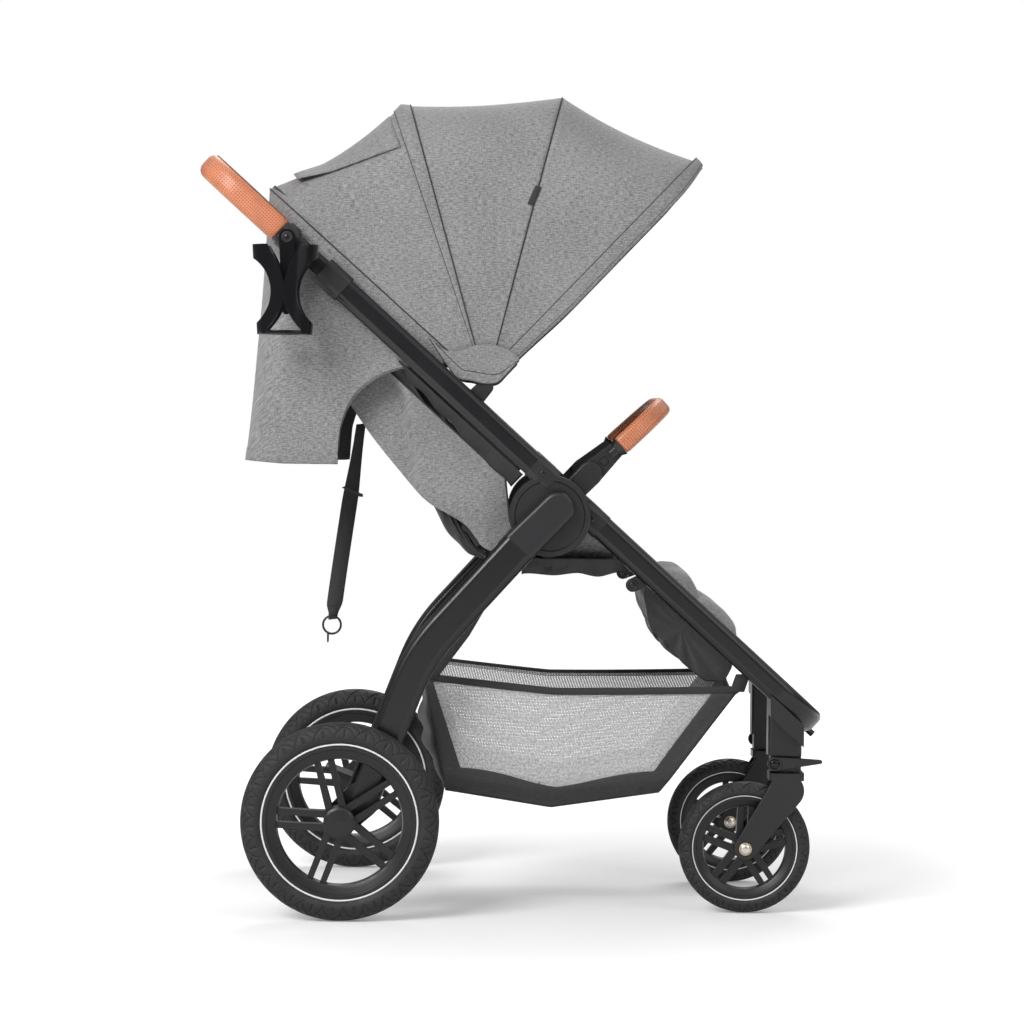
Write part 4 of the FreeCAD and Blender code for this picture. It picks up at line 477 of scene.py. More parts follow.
def make_finishes():
    sizes, colours = bpy.context.scene.buggy_sizes, bpy.context.scene.buggy_colours
    pitch = sizes.weave_pitch
    cloth_finish("cloth_grey", list(colours.cloth_light), list(colours.cloth_dark), pitch, 0.2)
    cloth_finish("cloth_lining", (0.03, 0.03, 0.032, 1), (0.012, 0.012, 0.013, 1), pitch, 0.1)
    cloth_finish("cloth_black", (0.020, 0.020, 0.022, 1), (0.008, 0.008, 0.009, 1), pitch, 0.05,
                 0.52)
    cloth_finish("seam_thread", (0.05, 0.05, 0.052, 1), (0.02, 0.02, 0.022, 1), pitch / 2, 0.0)
    cloth_finish("hem_grey", opaque(colours.cloth_light, 0.92), list(colours.cloth_dark), pitch,
                 0.2)
    leather_finish("leather_tan", list(colours.leather), sizes.hole_pitch)
    for name, colour, roughness, grain, bump, wear_and_highlight, dust, constants in (
            ("leather_edge", (0.20, 0.055, 0.02, 1), 0.6, 700, 0.2, 0.0, 0.0, {}),
            ("tube_paint", colours.paint, 0.27, 1400, 0.03, 0.0, 0.02, {SHINE: 0.42}),
            ("moulded_black", colours.plastic, 0.40, 1500, 0.08, 0.05, 0.04, {SHINE: 0.45}),
            ("rim_black", (0.008, 0.008, 0.0095, 1), 0.36, 1500, 0.08, 0.5, 0.12, {SHINE: 0.4}),
            ("rubber_black", colours.rubber, 0.62, 1100, 0.2, 0.3, 0.3, {SHINE: 0.4}),
            # the cup holder's pale edges stand in for a painted highlight along them
            ("cup_gloss", (0.006, 0.006, 0.0075, 1), 0.16, 1200, 0.02, 0.3, 0.0, {SHINE: 0.3}),
            ("board_black", (0.014, 0.014, 0.014, 1), 0.6, 900, 0.2, 0.2, 0.0, {}),
            ("pinstripe", colours.pinstripe, 0.45, 900, 0.1, 0.0, 0.1, {}),
            ("bolt_brass", (0.62, 0.49, 0.30, 1), 0.3, 900, 0.05, 0.0, 0.0, {"Metallic": 1.0}),
            ("bolt_steel", (0.62, 0.61, 0.60, 1), 0.28, 900, 0.05, 0.0, 0.0, {"Metallic": 1.0})):
        hard_finish(name, colour, roughness, float(grain), bump, wear_and_highlight, dust, **constants)
    webbing_finish("webbing_black", 0.016)
    mesh_finish("mesh_grey", sizes.mesh_pitch, (0.60, 0.59, 0.60, 1), 0.22)
    mesh_finish("mesh_black", sizes.mesh_pitch * 0.7, (0.02, 0.02, 0.021, 1), 0.16)


# ---- mesh helpers ----
def linked(name, mesh):
    piece = bpy.data.objects.new(name, mesh)
    bpy.context.scene.collection.objects.link(piece)
    return piece


def new_piece(name, points, faces, cut=None):
    """Object from points in millimetres; cut gives each point's place on the flat cloth."""
    mesh = bpy.data.meshes.new(name)
    mesh.from_pydata([p * MM for p in points], [], faces)
    if cut:
        layer = mesh.uv_layers.new(name="cut")
        for loop in mesh.loops:
            layer.data[loop.index].uv = [c * MM for c in cut[loop.vertex_index]]
    mesh.shade_smooth()
    return linked(name, mesh)


def grid_faces(rows, columns, ring=False):
    faces = []
    for r in range(rows - 1):
        for c in range(columns if ring else columns - 1):
            d = (c + 1) % columns
            near, far = r * columns, (r + 1) * columns
            faces.append((near + c, near + d, far + d, far + c))
    return faces


def cloth_sheet(name, surface, across, down, thickness=1.6, inner="cloth_lining",
                outer="cloth_grey", flip=False, held="stretched"):
    """Sheet from surface(u, v), 0 to 1 each way, with a lining on its inner face.

    It is declared with its own flat cut, unless it is narrower than a sheet may be. It
    gets its own flat cut, kept as a UV layer."""
    rows = [[surface(c / (across - 1), r / (down - 1)) for c in range(across)]
            for r in range(down)]
    cut = []
    drops = [0.0] * across
    for r, row in enumerate(rows):
        run = 0.0
        for c, point in enumerate(row):
            run += (point - row[c - 1]).length if c else 0.0
            drops[c] += (point - rows[r - 1][c]).length if r else 0.0
            cut.append((run, drops[c]))
    faces = grid_faces(down, across)
    if flip:
        faces = [f[::-1] for f in faces]
    piece = new_piece(name, [p for row in rows for p in row], faces, cut)
    piece.data.materials.append(finishes[outer])
    area = sum(face.area for face in piece.data.polygons)
    wide, long = (max(c[k] for c in cut) * MM for k in (0, 1))
    long = max(long, area / wide)
    if thickness:
        piece.data.materials.append(finishes[inner])
        shell = piece.modifiers.new("thickness", "SOLIDIFY")
        shell.thickness = thickness * MM
        shell.offset = -1
        shell.material_offset = 1
        shell.use_quality_normals = True
    return piece


def rounded_route(corners, radius, step=5.0):
    """Points along straight runs whose corners are rounded to one radius."""
    points = [corners[0]]
    for before, corner, after in zip(corners, corners[1:], corners[2:]):
        into, out = (corner - before).normalized(), (after - corner).normalized()
        half = into.angle(out) / 2
        centre = corner + (out - into).normalized() * (radius / math.cos(half))
        start = corner - into * radius * math.tan(half) - centre
        turn = into.cross(out).normalized()
        count = max(4, round(2 * half * radius / step))
        for k in range(count + 1):
            points.append(centre + Matrix.Rotation(2 * half * k / count, 3, turn) @ start)
    points.append(corners[-1])
    dense = [points[0]]
    for p, q in zip(points, points[1:]):
        count = max(1, round((q - p).length / step))
        dense += [p.lerp(q, k / count) for k in range(1, count + 1)]
    return dense


def oval_section(tall, thin, count=36):
    """Flat oval with half-round ends: (across the route's plane, along its normal) pairs."""
    r, reach = thin / 2, (tall - thin) / 2
    points = []
    for k in range(count):
        a = 2 * math.pi * k / count
        points.append((r * math.cos(a), r * math.sin(a) + math.copysign(reach, math.sin(a))))
    return points


def swept(name, path, section, normal, shrink=None):
    """Closed-section cover along a route in one plane; shrink(share) scales each ring."""
    rings, cut, run = [], [], 0.0
    count = len(section)
    around = [0.0]
    for p, q in zip(section, section[1:]):
        around.append(around[-1] + math.dist(p, q))
    for i, point in enumerate(path):
        ahead, behind = path[min(i + 1, len(path) - 1)], path[max(i - 1, 0)]
        side = (ahead - behind).normalized().cross(normal).normalized()
        run += (point - path[i - 1]).length if i else 0.0
        size = shrink(i / (len(path) - 1)) if shrink else 1.0
        for k, (a, b) in enumerate(section):
            rings.append(point + side * a * size + normal * b * size)
            cut.append((run, around[k]))
    faces = grid_faces(len(path), count, True)
    faces.append(tuple(reversed(range(count))))
    faces.append(tuple(range((len(path) - 1) * count, len(path) * count)))
    return new_piece(name, rings, faces, cut)


def cord_line(name, points, radius, sides=8, closed=False):
    """Thin round line through points, for piping, thread and rim cords."""
    rings = []
    count = len(points)
    for i, point in enumerate(points):
        if closed:
            along = points[(i + 1) % count] - points[i - 1]
        else:
            along = points[min(i + 1, count - 1)] - points[max(i - 1, 0)]
        turn = along.to_track_quat("Z", "Y")
        for k in range(sides):
            a = 2 * math.pi * k / sides
            rings.append(point + turn @ Vector((math.cos(a), math.sin(a), 0)) * radius)
    faces = grid_faces(count, sides, True)
    if closed:
        last = (count - 1) * sides
        faces += [(last + k, last + (k + 1) % sides, (k + 1) % sides, k) for k in range(sides)]
    else:
        faces.append(tuple(reversed(range(sides))))
        faces.append(tuple(range((count - 1) * sides, count * sides)))
    return new_piece(name, rings, faces)


def turned_piece(name, points, turns, count, side):
    """Piece from count points at each of the turns round an axle."""
    faces = grid_faces(turns, count)
    last = (turns - 1) * count
    faces += [(last + c, last + c + 1, c + 1, c) for c in range(count - 1)]
    piece = new_piece(name, points, [f[::-side] for f in faces])
    weld_ends(piece)
    return piece


def lathe(name, profile, centre, side=1, turns=96):
    """Piece turned about an axle: profile is (radius, reach along the axle) pairs."""
    points = []
    for k in range(turns):
        a = 2 * math.pi * k / turns
        out = Vector((math.cos(a), 0, math.sin(a)))
        points += [centre + out * r + ACROSS * y * side for r, y in profile]
    return turned_piece(name, points, turns, len(profile), side)


def weld_ends(piece):
    shape = bmesh.new()
    shape.from_mesh(piece.data)
    bmesh.ops.remove_doubles(shape, verts=shape.verts, dist=1e-6)
    bmesh.ops.recalc_face_normals(shape, faces=shape.faces)
    shape.to_mesh(piece.data)
    shape.free()
    piece.data.shade_smooth()


def finished(piece, finish, body, slot, *replaced):
    """Gives a new piece its finish, its body and the nodes that it stands for; slot is not used.
    """
    if finish:
        piece.data.materials.clear()
        piece.data.materials.append(finishes[finish])
    if body:
        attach(piece, body)
    if replaced:
        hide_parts(*replaced)
    return piece


def settle(piece, *kinds):
    """Makes a piece's modifiers of these kinds part of its mesh."""
    kept = [m for m in piece.modifiers if m.type in kinds]
    others = [m.name for m in piece.modifiers if m.type not in kinds]
    if others or not kept:
        raise RuntimeError(piece.name + " has other modifiers than " + ", ".join(kinds))
    graph = bpy.context.evaluated_depsgraph_get()
    mesh = bpy.data.meshes.new_from_object(piece.evaluated_get(graph))
    piece.modifiers.clear()
    old = piece.data
    piece.data = mesh
    bpy.data.meshes.remove(old)


def subdivided(piece, levels):
    finer = piece.modifiers.new("finer", "SUBSURF")
    finer.levels = finer.render_levels = levels
    settle(piece, "SUBSURF")
    piece.data.shade_smooth()
    return piece


def block(name, outline, half_width, soften):
    """Closed block from a side outline, its edges rounded over."""
    shape = bmesh.new()
    ring = [shape.verts.new((p - ACROSS * half_width) * MM) for p in outline]
    face = shape.faces.new(ring)
    grown = bmesh.ops.extrude_face_region(shape, geom=[face])
    top = [v for v in grown["geom"] if isinstance(v, bmesh.types.BMVert)]
    bmesh.ops.translate(shape, vec=ACROSS * 2 * half_width * MM, verts=top)
    bmesh.ops.recalc_face_normals(shape, faces=shape.faces)
    bmesh.ops.bevel(shape, geom=list(shape.edges), offset=soften * MM, segments=3,
                    profile=0.5, affect="EDGES", clamp_overlap=True)
    mesh = bpy.data.meshes.new(name)
    shape.to_mesh(mesh)
    shape.free()
    return linked(name, mesh)


PAD_PRESSURE = 4.0


def inflate(piece, cap):
    """Fills a closed cover as foam does: it swells, and no point moves further than cap."""
    sizes = bpy.context.scene.buggy_sizes
    remesh = piece.modifiers.new("cells", "REMESH")
    remesh.mode = "VOXEL"
    remesh.voxel_size = sizes.pad_voxel
    settle(piece, "REMESH")
    start = [v.co.copy() for v in piece.data.vertices]
    cloth = piece.modifiers.new("cloth", "CLOTH").settings
    cloth.use_pressure = True
    cloth.uniform_pressure_force = PAD_PRESSURE
    cloth.effector_weights.gravity = 0.0
    for step in range(1, sizes.swell_steps + 1):
        bpy.context.scene.frame_set(step)
    settle(piece, "CLOTH")
    for vertex, before in zip(piece.data.vertices, start):
        moved = vertex.co - before
        if moved.length > cap:
            vertex.co = before + moved.normalized() * cap
    bpy.context.scene.frame_set(1)
    return subdivided(piece, 1)


def press(piece, depth_at):
    """Pushes a pad's surface in along its normals by depth_at(point) millimetres."""
    moves = [(v, v.normal * depth_at(v.co / MM) * MM) for v in piece.data.vertices]
    for vertex, move in moves:
        vertex.co = vertex.co - move
    piece.data.update()


# ---- canopy ----
# lower edge of the cloth round the canopy pivot
CANOPY_FOOT = eased_line(
    [CANOPY_PIVOT + p for p in flat_points(
        (-84, 68), (-58, 29), (-42, 10), (-22, 6), (-4, 2), (17, 4), (32, 19), (48, 37))], 60)
# widths of the panels that the band overlaps
BACK_PANEL_WIDTH, MID_PANEL_WIDTH = 235, 240


def arch(bow, u, lift=0.0, lowest=CANOPY_LOWEST):
    """Point on a bow's arch, u from 0 low on the right over the top to 1 low on the left."""
    degrees, length, half = bow
    straight, corner = length - BOW_CORNER - lowest, BOW_CORNER * math.pi / 2
    top = half - BOW_CORNER
    total = straight + corner + top
    way, side = (2 * u * total, -1) if u <= 0.5 else ((2 - 2 * u) * total, 1)
    if way < straight:
        reach, y = lowest + way, half + lift
    elif way < straight + corner:
        turn = (way - straight) / BOW_CORNER
        reach = length - BOW_CORNER + (BOW_CORNER + lift) * math.sin(turn)
        y = half - BOW_CORNER + (BOW_CORNER + lift) * math.cos(turn)
    else:
        reach, y = length + lift, top - (way - straight - corner)
    return polar(CANOPY_PIVOT, degrees, reach) + ACROSS * side * y


def span(first, second, sag, lift=0.0):
    """Surface of the cloth between two bows, sagging in mid-span, with faint pulls."""
    def surface(u, v):
        point = blended(arch(first, u, lift), arch(second, u, lift), v)
        high = smooth(0.22, 0.42, min(u, 1 - u))
        pull = noise.noise(Vector((u * 9, v * 2.2, first[0]))) * 1.1 * 4 * v * (1 - v)
        inward = polar(Vector(), blended(first[0], second[0], v) + 180, 1)
        fall = sag * 4 * v * (1 - v) * high
        dish = sag * 0.35 * 4 * v * (1 - v) * (1 - high)
        middle = Vector((0, -math.copysign(1, point.y), 0)) * dish
        return point + inward * (fall + pull * high) + middle
    return surface


def blend_bows(piece, first, second, near, far):
    """Bakes a panel's placing into its own mesh."""
    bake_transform(piece)


def thread(name, points, radius, body, slot="cloth_grey", finish="seam_thread"):
    return finished(cord_line(name, points, radius), finish, body, slot)


def build_canopy():
    sizes = bpy.context.scene.buggy_sizes
    sag = sizes.canopy_sag / MM
    order = (("edge", "rear", sag, "handle_frame", "canopy_rear_bow"),
             ("rear", "mid", sag * 0.4, "canopy_rear_bow", "canopy_mid_bow"),
             ("mid", "front", sag * 0.6, "canopy_mid_bow", "canopy_front_bow"))
    nodes = ("canopy_back", "canopy_mid", "canopy_front")
    surfaces = {}
    for (first, second, fall, near, far), node in zip(order, nodes):
        surfaces[node] = span(BOWS[first], BOWS[second], fall)
        piece = cloth_sheet(node + "_cloth", surfaces[node], 121, 25, flip=True)
        settle(piece, "SOLIDIFY")
        blend_bows(piece, first, second, near, far)
        finished(piece, None, None, "cloth_grey", node)
    half_band = sizes.band_width / MM * 0.5

    def band(u, v):
        narrow = blended(0.9, 1.0, smooth(0.0, 0.2, min(u, 1 - u)))
        if v < 0.5:
            off = half_band / BACK_PANEL_WIDTH * narrow * (1 - 2 * v)
            place = surfaces["canopy_back"](u, 1 - off)
        else:
            off = half_band / MID_PANEL_WIDTH * narrow * (2 * v - 1)
            place = surfaces["canopy_mid"](u, off)
        out = (place - polar(CANOPY_PIVOT, BOWS["rear"][0], 150)).normalized()
        return place + out * (1.7 + 1.1 * math.sin(math.pi * v) ** 0.6)
    piece = cloth_sheet("canopy_band", band, 121, 9, 1.2, "cloth_grey", "hem_grey", True)
    finished(piece, None, "canopy_rear_bow", "cloth_grey")
    beyond = polar(Vector(), BOWS["front"][0] - 90, 1)

    def hem(u, v):
        place = surfaces["canopy_front"](u, 1.0)
        low = smooth(0.42, 0.30, min(u, 1 - u))
        reach = blended(2.5, 13.0 - 6.0 * smooth(0.12, 0.0, min(u, 1 - u)), low)
        out = (place - polar(CANOPY_PIVOT, BOWS["front"][0], 150)).normalized()
        side = blended(sizes.hem_width / MM * -0.9, reach, v)
        return place + beyond * side + out * (0.9 + 1.0 * math.sin(math.pi * v) - 1.2 * v)
    piece = cloth_sheet("canopy_hem", hem, 121, 7, 2.2, "cloth_lining", "hem_grey", True)
    finished(piece, None, "canopy_front_bow", "cloth_grey")
    for name, surface, body, radius in (
            ("seam_band_rear", lambda u: band(u, 0.04), "canopy_rear_bow", 0.45),
            ("seam_band_front", lambda u: band(u, 0.98), "canopy_rear_bow", 0.9),
            ("seam_mid", lambda u: surfaces["canopy_mid"](u, 1.0), "canopy_mid_bow", 1.0),
            ("seam_back", lambda u: surfaces["canopy_back"](u, 0.0), "handle_frame", 1.0),
            ("seam_hem", lambda u: hem(u, 0.04), "canopy_front_bow", 0.55),
            ("seam_hem_low", lambda u: hem(u, 0.80), "canopy_front_bow", 0.35)):
        thread(name, [surface(k / 160) for k in range(161)], radius, body)

    def flap(u, v):
        edge = blended(0.350, 0.301, v)
        across = blended(edge, 1 - edge, u)
        place = surfaces["canopy_back"](across, blended(0.186, 0.90, v))
        out = (place - polar(CANOPY_PIVOT, 122, 200)).normalized()
        lip = 2.8 * smooth(0.06, 0.0, min(u, 1 - u)) + 7.5 * smooth(0.3, 0.0, v)
        return place + out * (1.9 + lip)
    piece = cloth_sheet("canopy_flap", flap, 81, 19, 1.6, "cloth_lining", "cloth_grey", True)
    settle(piece, "SOLIDIFY")
    blend_bows(piece, "back", "rear", "handle_frame", "canopy_rear_bow")
    finished(piece, None, None, "cloth_grey")
    for side_name, side in SIDES:
        low, high = polar(CANOPY_PIVOT, 77.2, 274), polar(CANOPY_PIVOT, 76.2, 303)

        def tab(u, v, low=low, high=high, side=side):
            bulge = 1.6 * math.sin(math.pi * u)
            forward = Vector((1, 0, -0.25)) * (u - 0.3) * 9
            return low.lerp(high, v) + forward + ACROSS * side * (199.2 + bulge)
        piece = cloth_sheet("canopy_tab_" + side_name, tab, 9, 13, 1.0, "webbing_black",
                            "webbing_black")
        finished(piece, None, "canopy_mid_bow", "cloth_black")

        def foot(u, v, side=side):
            high = polar(CANOPY_PIVOT, blended(141.0, 40.5, u), 64 - 3 * math.sin(math.pi * u))
            place = high.lerp(along_points(CANOPY_FOOT, u), v)
            puff = 1.2 * math.sin(math.pi * v) + 1.4 * math.sin(u * 15) * smooth(0.3, 1.0, v)
            y = blended(207.2, 211.6, v) - 6.5 * u * (1 - v) + puff
            return place + ACROSS * side * y
        piece = cloth_sheet("canopy_foot_" + side_name, foot, 61, 15, 1.4, "cloth_lining",
                            "hem_grey", side < 0)
        finished(piece, None, "handle_frame", "cloth_grey")
        for name, at, radius in (("thread", 0.74, 0.5), ("fold", 0.99, 0.7)):
            thread(f"canopy_foot_{name}_{side_name}",
                   [foot(k / 80, at) + ACROSS * side * 0.3 for k in range(81)], radius,
                   "handle_frame")


# ---- drape behind the seat ----
DRAPE_BACK_X = -398.0
DRAPE_LOW_Z = 667.0
DRAPE_HALF = 197.0
DRAPE_CORNER = 60
# curved front hem, down from the tube
DRAPE_EDGE = eased_line(flat_points(
    (-104, 813), (-160, 806), (-204, 789), (-237, 758), (-254, 714), (-258, 664)), 60)


def drape_surface(u, v):
    """Cloth from the back bow down to its hem; u goes round from the right hem to the left."""
    side = -1 if u <= 0.5 else 1
    way = 2 * min(u, 1 - u)
    top = arch(BOWS["edge"], u, 0.0, 66.0)
    half, corner = DRAPE_HALF, DRAPE_CORNER
    if way < 0.45:
        low = along_points(DRAPE_EDGE, way / 0.45) + ACROSS * side * half
    elif way < 0.58:
        low = Vector((blended(-258, -338, (way - 0.45) / 0.13), side * half, 663))
    elif way < 0.75:
        turn = (way - 0.58) / 0.17 * math.pi / 2
        low = Vector((-338 - corner * math.sin(turn),
                      side * (half - corner + corner * math.cos(turn)),
                      663 + 4 * math.sin(turn)))
    else:
        low = Vector((DRAPE_BACK_X, side * (half - corner) * (1 - (way - 0.75) / 0.25),
                      DRAPE_LOW_Z))
    point = top.lerp(low, v)
    wave = math.sin(way * 15 + v * 1.5) * 3.2 + noise.noise(Vector((u * 8, v * 2, 3))) * 5
    swing = smooth(0.05, 0.9, v) * smooth(0.0, 0.3, way)
    back = smooth(0.55, 0.75, way)
    out = Vector((-back, side * (1 - back), 0)).normalized()
    hollow = blended(4.0, 2.0, back) * math.sin(math.pi * v)
    return point + out * (wave * swing * blended(0.6, 1.0, back) - hollow)


def build_drape():
    drape = cloth_sheet("drape_cloth", drape_surface, 161, 41, held="hung")

    def hem(u, v):
        place = drape_surface(u, 0.955 + 0.045 * v)
        middle = Vector((-300, 0, place.z))
        return place + (place - middle).normalized() * (0.7 + 0.4 * math.sin(math.pi * v))
    edge = cloth_sheet("drape_hem", hem, 161, 6, 2.0, "cloth_lining", "hem_grey", held="hung")
    pieces = [(drape, None), (edge, None)]
    for side_name, start in (("right", 0.0), ("left", 1.0)):
        for name, at in (("outer", 0.55), ("inner", 0.02)):
            line = [hem(abs(start - 0.225 * k / 70), at) for k in range(71)]
            line = cord_line(f"drape_thread_{name}_{side_name}", line, 0.4)
            pieces.append((line, "seam_thread"))
    for piece, finish in pieces:
        if piece.modifiers:
            settle(piece, "SOLIDIFY")
        finished(piece, finish, "handle_frame", "cloth_grey")
        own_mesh(piece)
    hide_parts("rear_drape")


# ---- seat ----
BACK_TOP = 465
# rear line of the backrest's cover in side view, and the gusset's own, which hangs lower
COVER_LINE = ((-119, 604), (-142, 624), (-174, 661), (-206, 700), (-236, 742), (-292.5, 825))
SHELL = eased_line(
    flat_points((-38, 521), (-60.6, 527), (-78.4, 544), (-100, 569), (-119, 603), *COVER_LINE[1:])
    + [on_back(BACK_TOP, -22)], 90)
GUSSET_REAR = (flat_points((-33, 537), (-46, 546), (-67, 573), (-94, 590), *COVER_LINE)
               + [on_back(BACK_TOP, -22)])
# (z, x) places of the gusset's long fold
GUSSET_RIDGE = ((530, -75), (573, -95), (604, -135), (629, -146), (664, -148), (700, -156),
                (766, -163), (840, -215), (930, -300))


def shell_surface(u, v):
    """Cover behind the back: u goes round from the right edge to the left, v up the back."""
    rear, front = along_points(SHELL, v), on_back(BACK_TOP * v, -2)
    side = -1 if u <= 0.5 else 1
    way = 2 * min(u, 1 - u)
    depth = (rear - front).length
    corner = min(36.0, depth * 0.6)
    if way < 0.35:
        share, y = way / 0.35 * (depth - corner) / max(depth, 1), 150.0
    elif way < 0.55:
        turn = (way - 0.35) / 0.2 * math.pi / 2
        share = (depth - corner + corner * math.sin(turn)) / max(depth, 1)
        y = 150 - corner + corner * math.cos(turn)
    else:
        share, y = 1.0, (150 - corner) * (1 - (way - 0.55) / 0.45)
    point = front.lerp(rear, share) + ACROSS * side * y
    fold = noise.noise(Vector((y * side / 55, v * 5, 7))) * 4
    fold += 2.5 * math.sin(v * 22 + y * side / 30)
    return point + (front - rear).normalized() * (fold * 0.8 + 3) * smooth(0.3, 0.7, way)


def panel_surface(side):
    """Side gusset from the cover's rear edge to the upper tube, with one long soft fold."""
    front = [Vector((22, 0, 540)), HINGE + Vector((-58, 0, -14)), on_frame(-85, -4),
             on_frame(-458, -4)]
    rear = eased_line(GUSSET_REAR, 80)

    def surface(u, v):
        point = along_points(rear, v).lerp(along_points(front, v), u)
        past = point.x - level(GUSSET_RIDGE, point.z)
        rise = smooth(-6, 9, past)
        along = (point - HINGE).dot(ALONG_TUBE)
        off = (point - HINGE).dot(OFF_TUBE)
        ripple = noise.noise(Vector((along / 150, off / 34, 11 + side))) * 9
        ripple += noise.noise(Vector((along / 60, off / 60, 4 + side))) * 3
        pinch = smooth(0, 70, math.dist((point.x, point.z), (-20, 540)))
        puff = ripple * (0.3 + 0.7 * rise) + 5 * rise * math.sin(math.pi * u)
        y = 153 + 24 * rise + puff * pinch
        return point + ACROSS * side * max(152.4, y)
    return surface


def facing_out(surface, side):
    """A surface for the right side, run the other way on the left so that it faces out."""
    return (lambda u, v: surface(1 - u, v)) if side > 0 else surface


def dark_sheet(name, surface, across, down, thickness, **options):
    return cloth_sheet(name, surface, across, down, thickness, "cloth_black", "cloth_black",
                       **options)


def build_shell():
    shell = cloth_sheet("seat_cover_back", shell_surface, 91, 61, 1.6, flip=True)
    finished(shell, None, "backrest", "cloth_grey", "seat_shell")

    def foot(u, v):
        place = shell_surface(u, 0.25 * v)
        out = (place - on_back(116 * v, 20)).normalized()
        fold = 1.3 * math.sin(v * 17 + u * 40) * math.sin(math.pi * v)
        return place + out * (1.6 + fold) + ACROSS * math.copysign(1.2, place.y)
    piece = dark_sheet("seat_cover_foot", foot, 91, 23, 1.2, flip=True)
    finished(piece, None, "backrest", "cloth_black")
    for side_name, side in SIDES:
        surface = panel_surface(side)
        panel = cloth_sheet("side_panel_" + side_name, facing_out(surface, side), 41, 61)
        trim = cord_line("panel_trim_" + side_name, [surface(1.0, k / 60) for k in range(61)],
                         1.5)
        settle(panel, "SOLIDIFY")
        start, end = on_frame(-230, -4), along_points(SHELL, 0.55)
        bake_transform(panel)
        finished(panel, None, None, "cloth_grey")
        finished(trim, "cloth_black", "handle_frame", "cloth_black")
        if side > 0:
            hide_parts("side_panels")

        # dark strip along the underside of the upper tube, down to the side panel
        def strip(u, v, side=side):
            s = blended(-70, -318, v)
            n = blended(18, blended(-7, 9, v), u) + 1.6 * math.sin(v * 27) * u
            return on_frame(s, n, side * (blended(204, 181, u) + 2 * math.sin(v * 17) * u))
        dark = dark_sheet("tube_dark_strip_" + side_name, facing_out(strip, side), 9, 61, 1.2)
        finished(dark, None, "handle_frame", "cloth_black")


def build_pads():
    cap = bpy.context.scene.buggy_sizes.pad_swell
    low, top, rear, front = 529, 575, 15.5, 173.5
    outline = flat_points(
        (rear + 5, low + 3), (front - 4, low + 3), (front + 2, low + 20), (front - 5, top - 15),
        (front - 20, top - 5), (rear + 24, top - 13), (rear + 5, top - 28))
    cushion = inflate(block("cushion", outline, 145, 7), cap)

    def cushion_press(p):
        if p.z < low + 14:
            return 0.0
        channel = 3.2 * math.exp(-((abs(p.y) - 62) / 4.5) ** 2)
        across = 3.2 * math.exp(-((p.x - 92) / 4.5) ** 2)
        across *= smooth(70, 50, abs(p.y))
        return (channel + across) * smooth(low + 14, low + 30, p.z)
    press(cushion, cushion_press)
    finished(cushion, "cloth_grey", "front_frame", "cloth_grey", "seat_cushion")

    outline = [on_back(*place) for place in (
        (12, 9), (459, 9), (459, 35), (446, 46), (30, 46), (17, 35))]
    pad = inflate(block("back_padding", outline, 146, 7), cap)

    def back_press(p):
        along = (p - BACK_FOOT).dot(UP_BACK)
        forward = (p - BACK_FOOT).dot(OFF_BACK)
        rows = sum(3.4 * math.exp(-((along - at) / 5) ** 2) for at in (118, 250, 362))
        sides = 3.0 * math.exp(-((abs(p.y) - 96) / 5) ** 2)
        return (rows * smooth(102, 88, abs(p.y)) + sides) * smooth(24, 38, forward)
    press(pad, back_press)
    finished(pad, "cloth_grey", "backrest", "cloth_grey", "back_pad")

    outline = [on_frame(*place) for place in (
        (345, 29), (345, 50), (322, 62), (290, 66), (262, 62), (249, 58), (236, 63), (212, 70),
        (186, 64), (176, 52), (176, 29))]
    calf = inflate(block("calf_padding", outline, 144, 6), cap)
    press(calf, lambda p: 4.0 * math.exp(-(((p - HINGE).dot(ALONG_TUBE) - 249) / 5) ** 2)
          * smooth(34, 46, (p - HINGE).dot(OFF_TUBE)))
    finished(calf, "cloth_grey", "calf_rest", "cloth_grey", "calf_pad")


def calf_cover_surface(u, v):
    """Loose dark cover under the calf rest: u goes round its section, v across."""
    ring = [on_frame(*place) for place in (
        (174, 26), (182, 8), (204, -9), (232, -22), (262, -28), (300, -27), (345, -25),
        (366, -6), (358, 18), (350, 27))]
    point = along_points(ring, u)
    y = -148 + 296 * v
    bag = math.sin(math.pi * u)
    fold = 4.6 * math.sin(u * 17 + 3 * math.sin(v * 7))
    fold = (fold + 9 * noise.noise(Vector((u * 5, v * 9, 2)))) * bag
    inward = (on_frame(262, 12) - point).normalized()
    return point + inward * (fold + 4) + ACROSS * y


def build_calf_cover():
    """The cover, and an end to it on each side: a ring of folds drawn in to a middle point."""
    cover = dark_sheet("calf_cover", calf_cover_surface, 71, 61, 1.6)
    count = 41
    for side_name, side in SIDES:
        v = 1.0 if side > 0 else 0.0
        rim = [calf_cover_surface(k / (count - 1), v) for k in range(count)]
        middle = on_frame(262, 8, side * 144)
        folds = [p.lerp(middle, 0.45) + ACROSS * side * (1.5 * math.sin(k * 0.9))
                 for k, p in enumerate(rim)]
        faces = [(k, k + 1, 43 + k, 42 + k) for k in range(40)]
        faces += [(42 + k, 43 + k, 41) for k in range(40)]
        faces += [(40, 0, 42, 82), (82, 42, 41)]
        end = new_piece("calf_end_" + side_name, rim + [middle] + folds,
                        faces if side < 0 else [f[::-1] for f in faces])
        finished(end, "cloth_black", "calf_rest", "cloth_black")
    finished(cover, None, "calf_rest", "cloth_black", "calf_board")


